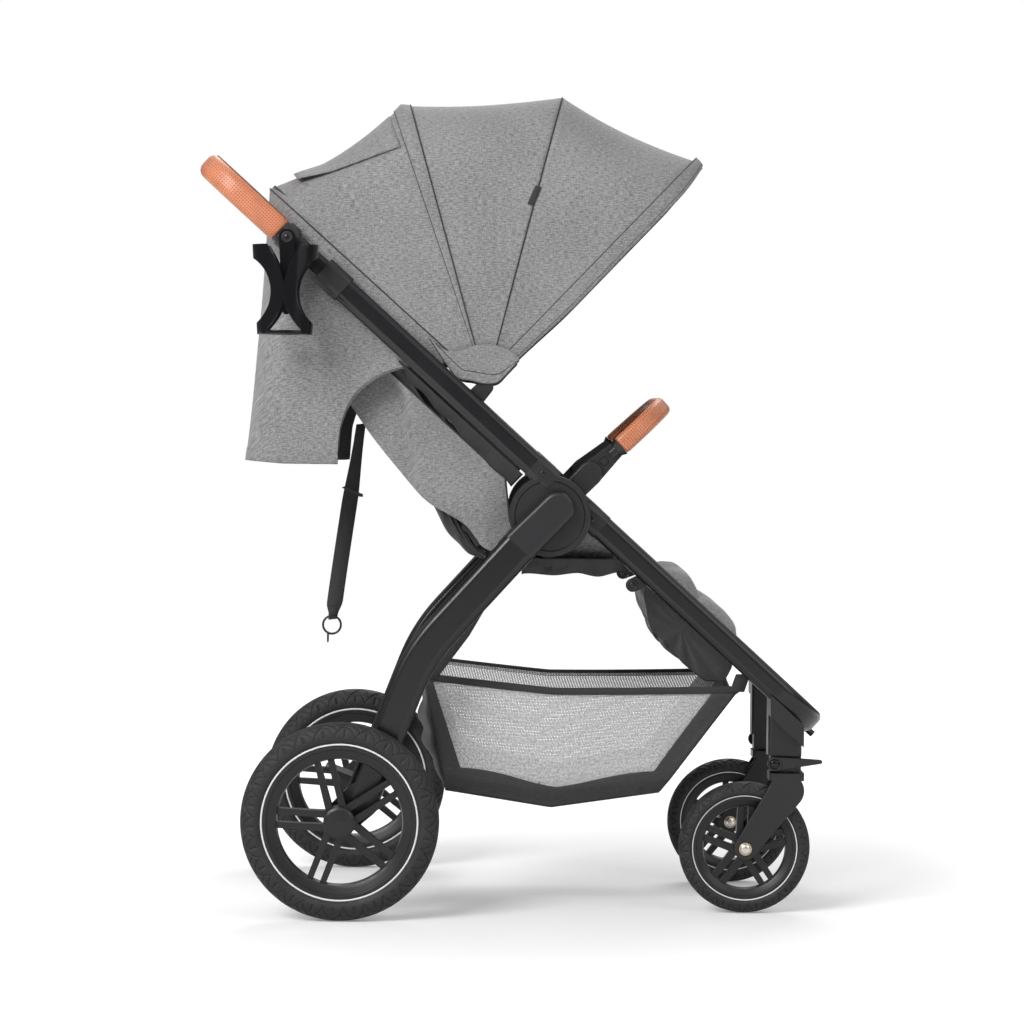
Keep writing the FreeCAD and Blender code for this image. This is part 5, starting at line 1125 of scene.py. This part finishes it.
def strap_strip(name, line, width_at, thickness, side):
    """Flat strap along points; side is the direction of its width."""
    points = []
    for k, p in enumerate(line):
        t = k / (len(line) - 1)
        ahead, behind = line[min(k + 1, len(line) - 1)], line[max(k - 1, 0)]
        thick = (ahead - behind).normalized().cross(side).normalized() * thickness / 2
        half = side * width_at(t) / 2
        edge = side * (width_at(t) / 2 - thickness * 0.35)
        points += [p - half, p - edge + thick, p + edge + thick,
                   p + half, p + edge - thick, p - edge - thick]
    faces = grid_faces(len(line), 6, True)
    last = (len(line) - 1) * 6
    faces += [tuple(reversed(range(6))), tuple(range(last, last + 6))]
    piece = new_piece(name, points, faces)
    weld_ends(piece)
    return piece


def build_harness():
    for side_name, side in SIDES:
        line = [on_back(95 + 235 * k / 24, 57.5 + 3 * math.sin(math.pi * k / 24),
                        side * (54 - 4 * k / 24)) for k in range(25)]
        strap = strap_strip("shoulder_strap_" + side_name, line, lambda t: 34.0, 3.2, ACROSS)
        finished(strap, "webbing_black", "backrest", "cloth_black")
        outline = [on_back(*place) for place in (
            (180, 53), (318, 53), (318, 60), (310, 64), (188, 64), (180, 60))]
        pad = subdivided(block("strap_pad_" + side_name, outline, 22, 3), 2)
        pad.data.transform(Matrix.Translation(ACROSS * side * 51 * MM))
        finished(pad, "cloth_black", "backrest", "cloth_black")
        if side > 0:
            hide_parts("shoulder_straps")
    line = [Vector((146 - 36 * k / 16, 0, 572 + 8 * smooth(0, 10, k)))
            for k in range(17)]
    crotch = strap_strip("crotch_strap", line, lambda t: 38.0, 3.0, ACROSS)
    finished(crotch, "webbing_black", "front_frame", "cloth_black")
    outline = flat_points((82, 576), (125, 576), (126, 583), (119, 590), (88, 590), (81, 583))
    buckle = subdivided(block("buckle", outline, 25, 2.5), 2)
    finished(buckle, "moulded_black", "front_frame", "board_black", "harness_buckle")
    button = lathe("buckle_button", [(0, 3.2), (8, 3.0), (9.5, 2.2), (10, 0)], Vector())
    button.data.transform(Matrix.Translation(Vector((104, 0, 589)) * MM)
                          @ Matrix.Rotation(math.pi / 2, 4, "X"))
    finished(button, "cup_gloss", "front_frame", "board_black")


def build_seat_skirt():
    """Dark cover under the cushion, gathered on its lower edge."""
    low_x, high_x, y = 16, 176, 163.5
    ring = rounded_route([Vector((x, at, 0)) for x, at in (
        (low_x, -y), (high_x, -y), (high_x, y), (low_x, y), (low_x, -y))], 12, 4)

    def surface(u, v):
        point = along_points(ring, u)
        gather = (1.5 * math.sin(u * 190) + 4 * noise.noise(Vector((u * 30, v * 2, 4)))) * v
        out = (point - Vector((98, 0, 0))).normalized()
        low = 502.5 + 2.6 * math.sin(u * 90) + 3.5 * noise.noise(Vector((u * 24, 1, 9)))
        return point + out * (gather - 4 * v) + UP * blended(527, low, v)
    skirt = dark_sheet("seat_skirt", surface, 241, 11, 1.4, held="gathered")
    finished(skirt, None, "front_frame", "cloth_black")


# ---- basket ----
BASKET_HALF = 168.0
BASKET_TOP = flat_points((-126, 348), (63, 332), (340, 334))
BASKET_LOW = flat_points((-95, 180), (63, 156), (225, 180))


def basket_wall(side):
    def surface(u, v):
        rim, low = along_points(BASKET_TOP, u), along_points(BASKET_LOW, u)
        dip = -3.5 * math.sin(math.pi * u)
        point = rim.lerp(low, v) + UP * dip * (1 - v)
        slack = 5.0 * math.sin(math.pi * v) * math.sin(math.pi * u)
        ripple = 2.2 * noise.noise(Vector((u * 5, v * 3, side))) * math.sin(math.pi * v)
        y = BASKET_HALF - 1 - slack - ripple - 10 * smooth(0.85, 1.0, v)
        return point + ACROSS * side * y
    return surface


def build_basket():
    for side_name, side in SIDES:
        wall = basket_wall(side)
        piece = cloth_sheet("basket_side_" + side_name, facing_out(wall, side), 101, 49, 0)
        finished(piece, "mesh_grey", "front_frame", "mesh_grey")
        if side < 0:
            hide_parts("basket")
        regions = {
            "band": lambda u, v: (u, blended(0.80 - 0.03 * math.sin(u * math.pi * 3), 1, v)),
            "rear_end": lambda u, v: (blended(0.0, 0.022 + 0.085 * v ** 1.3, u), v),
            "front_end": lambda u, v: (blended(0.925 - 0.03 * v, 1.0, u), v),
        }
        for name, region in regions.items():
            def patch(u, v, region=region):
                at = region(u, v)
                slack = 0.8 * noise.noise(Vector((at[0] * 30, at[1] * 6, 5))) + 1.4
                return wall(*at) + ACROSS * side * slack
            dark = dark_sheet(f"basket_{name}_{side_name}", facing_out(patch, side),
                              81 if name == "band" else 11, 13, 1.4)
            finished(dark, None, "front_frame", "mesh_grey")
        for name, where, width in (("basket_rim_", 0.0, 11.0), ("basket_hem_", 1.0, 5.0)):
            off = ACROSS * side * (2.2 if where == 0 else 0.4)
            line = [wall(k / 60, where) + off for k in range(61)]
            tape = strap_strip(name + side_name, line, lambda t, w=width: w, 3.2, UP)
            finished(tape, "webbing_black", "front_frame", "cloth_black")
            if side < 0 and where == 0:
                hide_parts("basket_rim")
        line = [wall(0.42, 0.8 + 0.2 * k / 10) + ACROSS * side * 2.4 for k in range(11)]
        thread("basket_seam_" + side_name, line, 0.8, "front_frame", "cloth_black",
               "cloth_black")
        y = side * 171
        for name, line, width in (
                ("rear", [Vector((-118, y, 345)), Vector((-70, y, 410)), Vector((-14, y, 508))],
                 18),
                ("front", [Vector((338, y, 331)), on_frame(372, 21, side * 182),
                           on_frame(376, 24, side * 186)], 22)):
            line = [along_points(line, k / 12) for k in range(13)]
            sling = strap_strip("basket_sling_" + name + "_" + side_name, line,
                                lambda t, w=width: w, 2.4, Vector((1, 0, 0)))
            finished(sling, "webbing_black", "front_frame", "cloth_black")

    def ends(front):
        top, low = (BASKET_TOP[-1], BASKET_LOW[-1]) if front else (BASKET_TOP[0], BASKET_LOW[0])

        def surface(u, v):
            y = (-1 + 2 * u) * (BASKET_HALF - 1 - 10 * smooth(0.85, 1.0, v))
            bulge = -7 if front else -24 - 4 * math.sin(v * 23)
            sag = Vector((bulge, 0, 0)) * math.sin(math.pi * u) ** 0.4
            sag *= math.sin(math.pi * v) ** 0.8
            dip = UP * (-16 * math.sin(math.pi * u) * (1 - v))
            return top.lerp(low, v) + sag + dip + ACROSS * y
        return surface
    for name, front in (("front", True), ("rear", False)):
        piece = dark_sheet("basket_end_" + name, ends(front), 61, 31, 1.6)
        finished(piece, None, "front_frame", "mesh_grey")
        line = [ends(front)(k / 50, 0.0) for k in range(51)]
        tape = strap_strip("basket_lip_" + name, line, lambda t: 10.0, 3.0, UP)
        finished(tape, "webbing_black", "front_frame", "cloth_black")

    def floor(u, v):
        point = along_points(BASKET_LOW, v)
        y = (-1 + 2 * u) * (BASKET_HALF - 11)
        return point + UP * (-1.5 * math.sin(math.pi * u)) + ACROSS * y
    piece = dark_sheet("basket_floor", floor, 41, 51, 2.0)
    finished(piece, None, "front_frame", "mesh_grey")


# ---- grips, hinges and small hardware ----
def rolled_end(share):
    return 1 - 0.10 * (smooth(0.012, 0.0, share) + smooth(0.988, 1.0, share))


def build_grips():
    """Leather covers swept along the push handle's and the bumper bar's own routes."""
    y = UPPER_TUBE_Y
    corners = [on_frame(s, 39, at) for s, at in ((-574, -y), (-716, -y), (-716, y), (-574, y))]
    path = rounded_route(corners, 62, 3)
    grip = swept("handle_cover", path, oval_section(38.5, 28, 48), OFF_TUBE, rolled_end)
    finished(grip, "leather_tan", "push_handle", "leather_tan", "handle_grip")
    add_seam("handle_seam", path, OFF_TUBE, (-5.0, 18.7), "push_handle")
    y = BUMPER_Y
    corners = [BUMPER_HUB + ALONG_BUMPER * d + ACROSS * at
               for d, at in ((62, -y), (148, -y), (148, y), (62, y))]
    path = rounded_route(corners, 84, 3)
    grip = swept("bumper_cover", path, oval_section(29, 18, 44), OFF_BUMPER, rolled_end)
    finished(grip, "leather_tan", "bumper", "leather_tan", "bumper_grip")
    add_seam("bumper_seam", path, OFF_BUMPER, (-9.2, 4.0), "bumper")


# one stitch: its foot on the seam and its smaller top, as shares of its own half sizes
STITCH = ((-1, -1, 0), (1, -1, 0), (1, 1, 0), (-1, 1, 0),
          (-0.6, -0.6, 1), (0.6, -0.6, 1), (0.6, 0.6, 1), (-0.6, 0.6, 1))
STITCH_SIDES = [(i, (i + 1) % 4, 4 + (i + 1) % 4, 4 + i) for i in range(4)]
STITCH_FACES = [(4, 5, 6, 7), *STITCH_SIDES, (3, 2, 1, 0)]


def add_seam(name, path, normal, offset, body):
    """Sewn seam along a grip: a folded edge with stitches across it."""
    a, b = offset
    line = []
    for i, point in enumerate(path[2:-2], 2):
        side = (path[i + 1] - path[i - 1]).normalized().cross(normal).normalized()
        line.append(point + side * a + normal * b)
    finished(cord_line(name, line, 0.95, 6), "leather_edge", body, "leather_tan")
    points, faces = [], []
    for k in range(1, len(line) - 2, 2):
        out = (line[k] - path[k + 2]).normalized()
        along = (line[k + 1] - line[k - 1]).normalized()
        across = along.cross(out)
        base = len(points)
        for u, v, w in STITCH:
            points.append(line[k] + across * u * 1.5 + along * v * 0.45 + out * (w * 0.75))
        faces += [tuple(base + i for i in face) for face in STITCH_FACES]
    finished(new_piece(name + "_thread", points, faces), "seam_thread", body, "leather_tan")


def dome(name, centre, side, radius, rise, finish, body, turns=40):
    """Low round head, such as a rivet's or a bolt's."""
    angles = [k * math.pi / 16 for k in range(9)]
    profile = [(radius * math.cos(a), rise * math.sin(a)) for a in angles[::-1]]
    finished(lathe(name, profile, centre, side, turns), finish, body, "hinge_black")


def ring_piece(name, centre, side, inner, outer, rise, finish, body, turns=96,
               slot="hinge_black"):
    """Raised flat ring with softly rounded edges."""
    soft = min(rise, (outer - inner) / 3) * 0.9
    profile = [(inner, -0.4), (inner, rise - soft), (inner + soft * 0.4, rise - soft * 0.3),
               (inner + soft, rise), (outer - soft, rise),
               (outer - soft * 0.4, rise - soft * 0.3), (outer, rise - soft), (outer, -0.4)]
    finished(lathe(name, profile, centre, side, turns), finish, body, slot)


def build_hardware():
    """Rings, rivets, pins and bolt heads on both sides."""
    for side_name, side in SIDES:
        inner = HINGE + ACROSS * side * 186
        ring_piece("hinge_inner_ring_" + side_name, inner, -side, 46, 57, 1.2, "moulded_black",
                   "front_frame")
        dome("hinge_inner_cap_" + side_name, inner, -side, 22, 3, "moulded_black",
             "front_frame")
        hub = BUMPER_HUB + ACROSS * side * 175
        ring_piece("bumper_hub_ring_" + side_name, hub, side, 12.2, 16.2, 1.0,
                   "moulded_black", "bumper", 64)
        for name, s, y, body in (("low", 50, 208.1, "front_frame"),
                                 ("high", -50, 231.6, "handle_frame")):
            dome("collar_rivet_" + name + "_" + side_name, on_frame(s, 39, side * y), side,
                 4.2, 1.1, "tube_paint", body, 28)
        dome("calf_pin_" + side_name, on_frame(161, 7.4, side * 186.2), side, 4.6, 1.6,
             "rim_black", "front_frame", 32)
        ring_piece("calf_pin_ring_" + side_name, on_frame(161, 7.4, side * 186), side, 5.2,
                   8.4, 1.1, "moulded_black", "front_frame", 48)
        lever, lever_body = Vector((394, side * 190.6, 225.5)), "swivel_lever_" + side_name
        dome("lever_boss_" + side_name, lever, side, 6.6, 2.2, "cup_gloss", lever_body, 36)
        ring_piece("lever_ring_" + side_name, lever, side, 7.4, 10.2, 0.9, "moulded_black",
                   lever_body, 48)
        for name, way in (("out", side), ("in", -side)):
            bolt = FRONT_AXLE + ACROSS * (side * FRONT_WHEEL_Y + way * 28.4)
            dome("axle_bolt_" + name + "_" + side_name, bolt, way, 7.6, 3.4, "bolt_steel",
                 "fork_" + side_name)
            ring_piece("axle_washer_" + name + "_" + side_name, bolt - ACROSS * way * 1.6,
                       way, 7.4, 9.6, 1.9, "bolt_brass", "fork_" + side_name, 48)
        dome("foot_bolt_" + side_name, Vector((-215.9, side * 233, 173.1)), -side, 4.6, 2.2,
             "bolt_brass", "rear_frame", 32)


def build_cup_holder():
    """Knob of the clamp that the cup holder hangs from."""
    knob_at = on_frame(-559, 39) + ACROSS * -232.0
    ring_piece("cup_knob_rim", knob_at - ACROSS * 6.6, -1, 5.0, 8.6, 2.2, "moulded_black",
               "cup_holder", 48)
    dome("cup_knob", knob_at - ACROSS * 6.8, -1, 5.4, 3.0, "cup_gloss", "cup_holder")


# ---- wheels ----
BEAD_SHARE = 0.775  # of a wheel's radius, where the tyre meets its rim


def tyre_profile(radius, width):
    """Half-round tyre section as (radius, reach) points, closer together over the tread."""
    half, bead = width / 2, radius * BEAD_SHARE
    tall = radius - bead
    keys = ((-0.02, 0.60), (0.08, 0.78), (0.20, 0.94), (0.36, 1.0), (0.52, 0.975),
            (0.68, 0.89), (0.82, 0.74), (0.92, 0.54), (0.98, 0.30), (1.0, 0.0))
    shoulder = [Vector((bead + tall * r, -half * y, 0)) for r, y in keys]
    line = eased_line(shoulder + [Vector((p.x, -p.y, 0)) for p in shoulder[-2::-1]], 97)
    return [(min(p.x, radius), max(-half, min(half, p.y))) for p in line]


def treaded(name, centre, side, radius, width, turns, waves, depth):
    """Tyre whose shoulders carry scalloped grooves, pressed in square to its surface."""
    profile = tyre_profile(radius, width)
    tread = radius * 0.835
    spans = [math.dist(p, q) for p, q in zip(profile, profile[1:])]
    reach = [sum(spans[:k]) for k in range(len(profile))]
    start = next(reach[k] for k, p in enumerate(profile) if p[0] > tread)
    middle = reach[-1] / 2
    scale = middle - start
    points = []
    for k in range(turns):
        a = 2 * math.pi * k / turns
        out = Vector((math.cos(a), 0, math.sin(a)))
        for i, (r, y) in enumerate(profile):
            before, after = profile[max(i - 1, 0)], profile[min(i + 1, len(profile) - 1)]
            along = Vector((after[0] - before[0], after[1] - before[1])).normalized()
            share = (min(reach[i], reach[-1] - reach[i]) - start) / scale
            drop = 0.0
            if share > -0.05:
                turn = a * waves / 2 + (0.25 * math.pi if y > 0 else 0)
                lines = (0.06 + 0.52 * abs(math.sin(turn)) ** 0.8,
                         0.34 + 0.40 * abs(math.sin(turn + 0.6)) ** 0.9, 0.98)
                gaps = [(share - at) * scale for at in lines]
                if 0.10 < share < 0.40:
                    gaps.append((abs(math.cos(turn)) - 0.08) * 12)
                drop = depth * max(math.exp(-(gap / 1.0) ** 2) for gap in gaps)
            points.append(centre + out * (r + along.y * -drop)
                          + ACROSS * side * (y + along.x * drop))
    return turned_piece(name, points, turns, len(profile), side)


def build_wheels():
    depth = bpy.context.scene.buggy_sizes.groove_depth / MM
    for side_name, side in SIDES:
        for kind, axle, y, radius, width, turns, waves, stripe in (
                ("rear", REAR_AXLE, REAR_WHEEL_Y, 145.0, 42.0, 720, 26, 0.785),
                ("front", FRONT_AXLE, FRONT_WHEEL_Y, 98.0, 36.0, 540, 22, 0.80)):
            centre = axle + ACROSS * side * y
            body = f"{kind}_wheel_{side_name}"
            tyre = treaded(f"{kind}_tyre_cover_{side_name}", centre, side, radius, width,
                           turns, waves, depth)
            finished(tyre, "rubber_black", body, "tyre_black", f"{kind}_tyre_{side_name}")
            bead = radius * BEAD_SHARE
            for face_name, way in (("out", side), ("in", -side)):
                face = centre + ACROSS * way * (width * 0.355)
                ends = f"{side_name}_{face_name}"
                ring_piece(f"{kind}_flange_{ends}", face, way, bead - radius * 0.045,
                           bead + radius * 0.012, 1.4, "rim_black", body, 160, "wheel_black")
                ring_piece(f"{kind}_stripe_{ends}", face + ACROSS * way * 1.0, way,
                           radius * stripe - 1.5, radius * stripe + 1.2, 1.1, "pinstripe", body,
                           160, "wheel_black")
            if kind == "rear":
                cap = centre + ACROSS * side * 24.2
                profile = [(0, 1.9), (12, 1.8), (17.5, 1.3), (19.4, 0.5), (19.8, -0.6)]
                disc = lathe("hub_disc_" + side_name, profile, cap, side, 72)
                finished(disc, "rim_black", body, "wheel_black")


# ---- strap that lays the back down ----
def build_recline_strap():
    """Flat webbing that hangs free from the back of the seat, sewn round its pull ring."""
    route = flat_points((-232, 722), (-240, 660), (-250, 590), (-260, 520), (-270, 446),
                        (-272.6, 421))
    curve = bpy.data.curves.new("strap_route", "CURVE")
    curve.dimensions = "3D"
    spline = curve.splines.new("NURBS")
    spline.points.add(len(route) - 1)
    for point, place in zip(spline.points, route):
        point.co = (*(place * MM), 1)
    spline.order_u = 3
    spline.use_endpoint_u = True
    spline.resolution_u = 8
    guide = bpy.data.objects.new("strap_route", curve)
    bpy.context.scene.collection.objects.link(guide)
    bpy.context.view_layer.update()
    graph = bpy.context.evaluated_depsgraph_get()
    drawn = bpy.data.meshes.new_from_object(guide.evaluated_get(graph))
    line = [v.co / MM for v in drawn.vertices]
    bpy.data.objects.remove(guide)
    bpy.data.meshes.remove(drawn)

    def width(t):
        return blended(15.0, 25.0, smooth(0.0, 0.34, t)) - 11.0 * smooth(0.88, 0.97, t)
    strap = strap_strip("pull_strap", line, width, 2.2, Vector((1, 0, 0.12)).normalized())
    finished(strap, "webbing_black", "backrest", "cloth_black", "recline_strap")
    loop = strap_strip("pull_strap_fold", flat_points((-272, 441), (-272, 434), (-272, 427)),
                       lambda t: 14.5, 5.2, Vector((1, 0, 0.1)).normalized())
    finished(loop, "webbing_black", "backrest", "cloth_black")
    length = sum((q - p).length for p, q in zip(line, line[1:])) * MM


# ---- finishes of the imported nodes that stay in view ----
NODE_FINISHES = {
    "tube_paint": ("front_frame", "upper_tubes", "rear_legs", "handle_tube", "seat_frame"),
    "moulded_black": (
        "lower_hinges", "upper_hinges", "front_housings", "leg_bosses", "rear_axle",
        "height_locks", "grip_joints", "canopy_clips", "bumper_mounts", "calf_brackets",
        "cup_clamp", "fork_left", "fork_right", "swivel_lever_left", "swivel_lever_right",
        "brake_pedal", "bumper_bar", "bumper_button_left", "bumper_button_right", "bow_back",
        "bow_rear", "bow_mid", "bow_front", "strap_fittings"),
    "rim_black": ("rear_rim_left", "rear_rim_right", "front_rim_left", "front_rim_right",
                  "rear_hub_cap_left", "rear_hub_cap_right"),
    "cup_gloss": ("cup_holder",),
    "board_black": ("seat_board", "back_board"),
}
# widths in millimetres of the rounding that takes the sharpness off packed edges
SOFT_EDGES = {
    "cup_holder": 1.2, "front_housings": 1.6, "fork_left": 1.4, "fork_right": 1.4,
    "leg_bosses": 2.4, "rear_rim_left": 0.9, "rear_rim_right": 0.9, "front_rim_left": 0.7,
    "front_rim_right": 0.7, "upper_hinges": 1.2, "lower_hinges": 1.2, "rear_axle": 1.6,
    "height_locks": 1.4, "bumper_bar": 1.2, "swivel_lever_left": 1.2,
    "swivel_lever_right": 1.2, "brake_pedal": 1.4, "grip_joints": 0.8, "bumper_mounts": 1.2,
    "calf_brackets": 1.0, "canopy_clips": 1.0, "cup_clamp": 0.7,
}


def finish_nodes():
    for finish, names in NODE_FINISHES.items():
        for name in names:
            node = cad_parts[name]
            for slot in node.material_slots:
                slot.material = finishes[finish]
            if not node.material_slots:
                node.data.materials.append(finishes[finish])
            if name in SOFT_EDGES:
                weld = node.modifiers.new("weld", "WELD")
                weld.merge_threshold = 0.00002
                edges = node.modifiers.new("soft edges", "BEVEL")
                edges.width = SOFT_EDGES[name] * MM
                edges.segments = 3
                edges.limit_method = "ANGLE"
                edges.angle_limit = math.radians(34)
                edges.harden_normals = True


# ---- stage ----
CAMERA_PLACE = Vector((-28.5, -5028.24, 750.43))
CAMERA_PITCH, CAMERA_YAW, CAMERA_ROLL = 0.03206, 0.0059, 0.01152
CAMERA_LENS = 115.09
FLOOR_HALF = 9000
SKY = 0.42  # strength of the world's light on the object; seen or through glass it is 1
HORIZON = 0.16  # its strength low down, as glossy faces see it
LAMP_AIM = Vector((0, 0, 0.55))
LAMPS = (("key", (-2.1, -3.0, 2.7), 1.8, 135), ("fill", (2.8, -2.6, 2.2), 2.4, 30),
         ("rim", (0.4, 2.4, 3.2), 2.4, 60))  # name, place in metres, size, watts


def build_stage():
    scene = bpy.context.scene
    scene.view_settings.view_transform = "Standard"
    half = FLOOR_HALF
    corners = ((-half, -half), (half, -half), (half, half), (-half, half))
    floor = new_piece("floor", [Vector((x, y, -0.3)) for x, y in corners], [(0, 1, 2, 3)])
    material = bpy.data.materials.new("floor_white")
    material.use_nodes = True
    tree = material.node_tree
    shader = tree.nodes["Principled BSDF"].inputs
    shader["Base Color"].default_value = (0.86, 0.86, 0.86, 1)
    shader["Roughness"].default_value = 0.9
    path = tree.nodes.new("ShaderNodeLightPath").outputs
    seen = calc(tree, "MAXIMUM", path["Is Camera Ray"], path["Is Glossy Ray"])
    place = tree.nodes.new("ShaderNodeTexCoord").outputs["Object"]
    ground = add_node(tree, "ShaderNodeVectorMath", {0: place},
                      operation="LENGTH").outputs["Value"]
    fill = ranged(tree, ground, 0.5, 2.6, 0.16, 0.60)
    tree.links.new(calc(tree, "MULTIPLY", seen, fill), shader["Emission Strength"])
    shader["Emission Color"].default_value = (1, 1, 1, 1)
    floor.data.materials.append(material)
    world = bpy.data.worlds.new("studio")
    scene.world = world
    world.use_nodes = True
    tree = world.node_tree
    path = tree.nodes.new("ShaderNodeLightPath").outputs
    seen = calc(tree, "MAXIMUM", path["Is Camera Ray"], path["Is Transmission Ray"])
    height = split_axes(tree, tree.nodes.new("ShaderNodeTexCoord").outputs["Generated"])[2]
    above = ranged(tree, height, 0.05, 0.8, HORIZON - SKY, 1.0 - SKY)
    back = tree.nodes["Background"]
    back.inputs["Color"].default_value = (1, 1, 1, 1)
    plain = calc(tree, "MULTIPLY_ADD", seen, 1.0 - SKY, SKY)
    graded = calc(tree, "MULTIPLY_ADD", path["Is Glossy Ray"], above, plain)
    tree.links.new(graded, back.inputs["Strength"])
    for name, place, size, power in LAMPS:
        lamp = bpy.data.lights.new(name, "AREA")
        lamp.size, lamp.energy = size, power
        holder = bpy.data.objects.new(name, lamp)
        holder.location = place
        holder.rotation_mode = "QUATERNION"
        holder.rotation_quaternion = (LAMP_AIM - Vector(place)).to_track_quat("-Z", "Y")
        scene.collection.objects.link(holder)
    camera = bpy.data.objects.new("camera", bpy.data.cameras.new("camera"))
    camera.data.lens = CAMERA_LENS
    camera.data.clip_end = 100
    flat, drop = math.cos(CAMERA_PITCH), math.sin(CAMERA_PITCH)
    ahead = Vector((math.sin(CAMERA_YAW) * flat, math.cos(CAMERA_YAW) * flat, -drop))
    right = ahead.cross(UP).normalized()
    over = right.cross(ahead)
    cr, sr = math.cos(CAMERA_ROLL), math.sin(CAMERA_ROLL)
    turned_right, turned_up = right * cr + over * sr, over * cr - right * sr
    camera.matrix_world = Matrix.Translation(CAMERA_PLACE * MM) @ Matrix(
        (turned_right, turned_up, -ahead)).transposed().to_4x4()
    scene.collection.objects.link(camera)
    scene.camera = camera


# ---- operators, panel and registration ----
class FinishesOperator(bpy.types.Operator):
    """Make every cloth, leather, paint, plastic and rubber finish"""
    bl_idname = "buggy.finishes"
    bl_label = "Finishes"

    def execute(self, context):
        make_finishes()
        return {"FINISHED"}


class FrameOperator(bpy.types.Operator):
    """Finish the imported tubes, hinges, housings and rims"""
    bl_idname = "buggy.frame"
    bl_label = "Frame finishes"

    def execute(self, context):
        finish_nodes()
        return {"FINISHED"}


class CanopyOperator(bpy.types.Operator):
    """Sew the canopy between its four bows"""
    bl_idname = "buggy.canopy"
    bl_label = "Canopy"

    def execute(self, context):
        build_canopy()
        build_drape()
        return {"FINISHED"}


class SeatOperator(bpy.types.Operator):
    """Make the seat's covers, pads and harness"""
    bl_idname = "buggy.seat"
    bl_label = "Seat"

    def execute(self, context):
        build_shell()
        build_pads()
        build_calf_cover()
        build_harness()
        build_seat_skirt()
        return {"FINISHED"}


class BasketOperator(bpy.types.Operator):
    """Hang the mesh basket under the seat"""
    bl_idname = "buggy.basket"
    bl_label = "Basket"

    def execute(self, context):
        build_basket()
        return {"FINISHED"}


class GripsOperator(bpy.types.Operator):
    """Sew the leather covers of the push handle and the bumper bar"""
    bl_idname = "buggy.grips"
    bl_label = "Leather grips"

    def execute(self, context):
        build_grips()
        return {"FINISHED"}


class HardwareOperator(bpy.types.Operator):
    """Add hinge rings, rivets, bolts and the cup holder's knob"""
    bl_idname = "buggy.hardware"
    bl_label = "Hardware"

    def execute(self, context):
        build_hardware()
        build_cup_holder()
        return {"FINISHED"}


class WheelsOperator(bpy.types.Operator):
    """Make the treaded tyres and the wheels' rings"""
    bl_idname = "buggy.wheels"
    bl_label = "Wheels"

    def execute(self, context):
        build_wheels()
        return {"FINISHED"}


class StrapOperator(bpy.types.Operator):
    """Hang the strap that lays the back down"""
    bl_idname = "buggy.strap"
    bl_label = "Recline strap"

    def execute(self, context):
        build_recline_strap()
        return {"FINISHED"}


class StageOperator(bpy.types.Operator):
    """Set the floor, the lamps and the camera"""
    bl_idname = "buggy.stage"
    bl_label = "Stage"

    def execute(self, context):
        build_stage()
        return {"FINISHED"}


OPERATORS = (FinishesOperator, StageOperator, StrapOperator, FrameOperator, CanopyOperator,
             SeatOperator, BasketOperator, GripsOperator, HardwareOperator, WheelsOperator)


class BuggyPanel(bpy.types.Panel):
    """Lists the buggy's settings and the pieces that can be built"""
    bl_idname = "VIEW3D_PT_buggy"
    bl_label = "Buggy"
    bl_space_type = "VIEW_3D"
    bl_region_type = "UI"
    bl_category = "Buggy"

    def draw(self, context):
        for settings in (context.scene.buggy_sizes, context.scene.buggy_colours):
            for name in settings.__annotations__:
                self.layout.prop(settings, name)
        for operator in OPERATORS:
            self.layout.operator(operator.bl_idname)


CLASSES = (BuggySizes, BuggyColours, *OPERATORS, BuggyPanel)


def register():
    for kind in CLASSES:
        bpy.utils.register_class(kind)
    bpy.types.Scene.buggy_sizes = PointerProperty(type=BuggySizes)
    bpy.types.Scene.buggy_colours = PointerProperty(type=BuggyColours)


def unregister():
    del bpy.types.Scene.buggy_colours
    del bpy.types.Scene.buggy_sizes
    for kind in reversed(CLASSES):
        bpy.utils.unregister_class(kind)


def main():
    register()
    for operator in OPERATORS:
        group, name = operator.bl_idname.split(".")
        if getattr(getattr(bpy.ops, group), name)() != {"FINISHED"}:
            raise RuntimeError(operator.bl_label + " didn't finish")


if __name__ == "__main__":
    main()
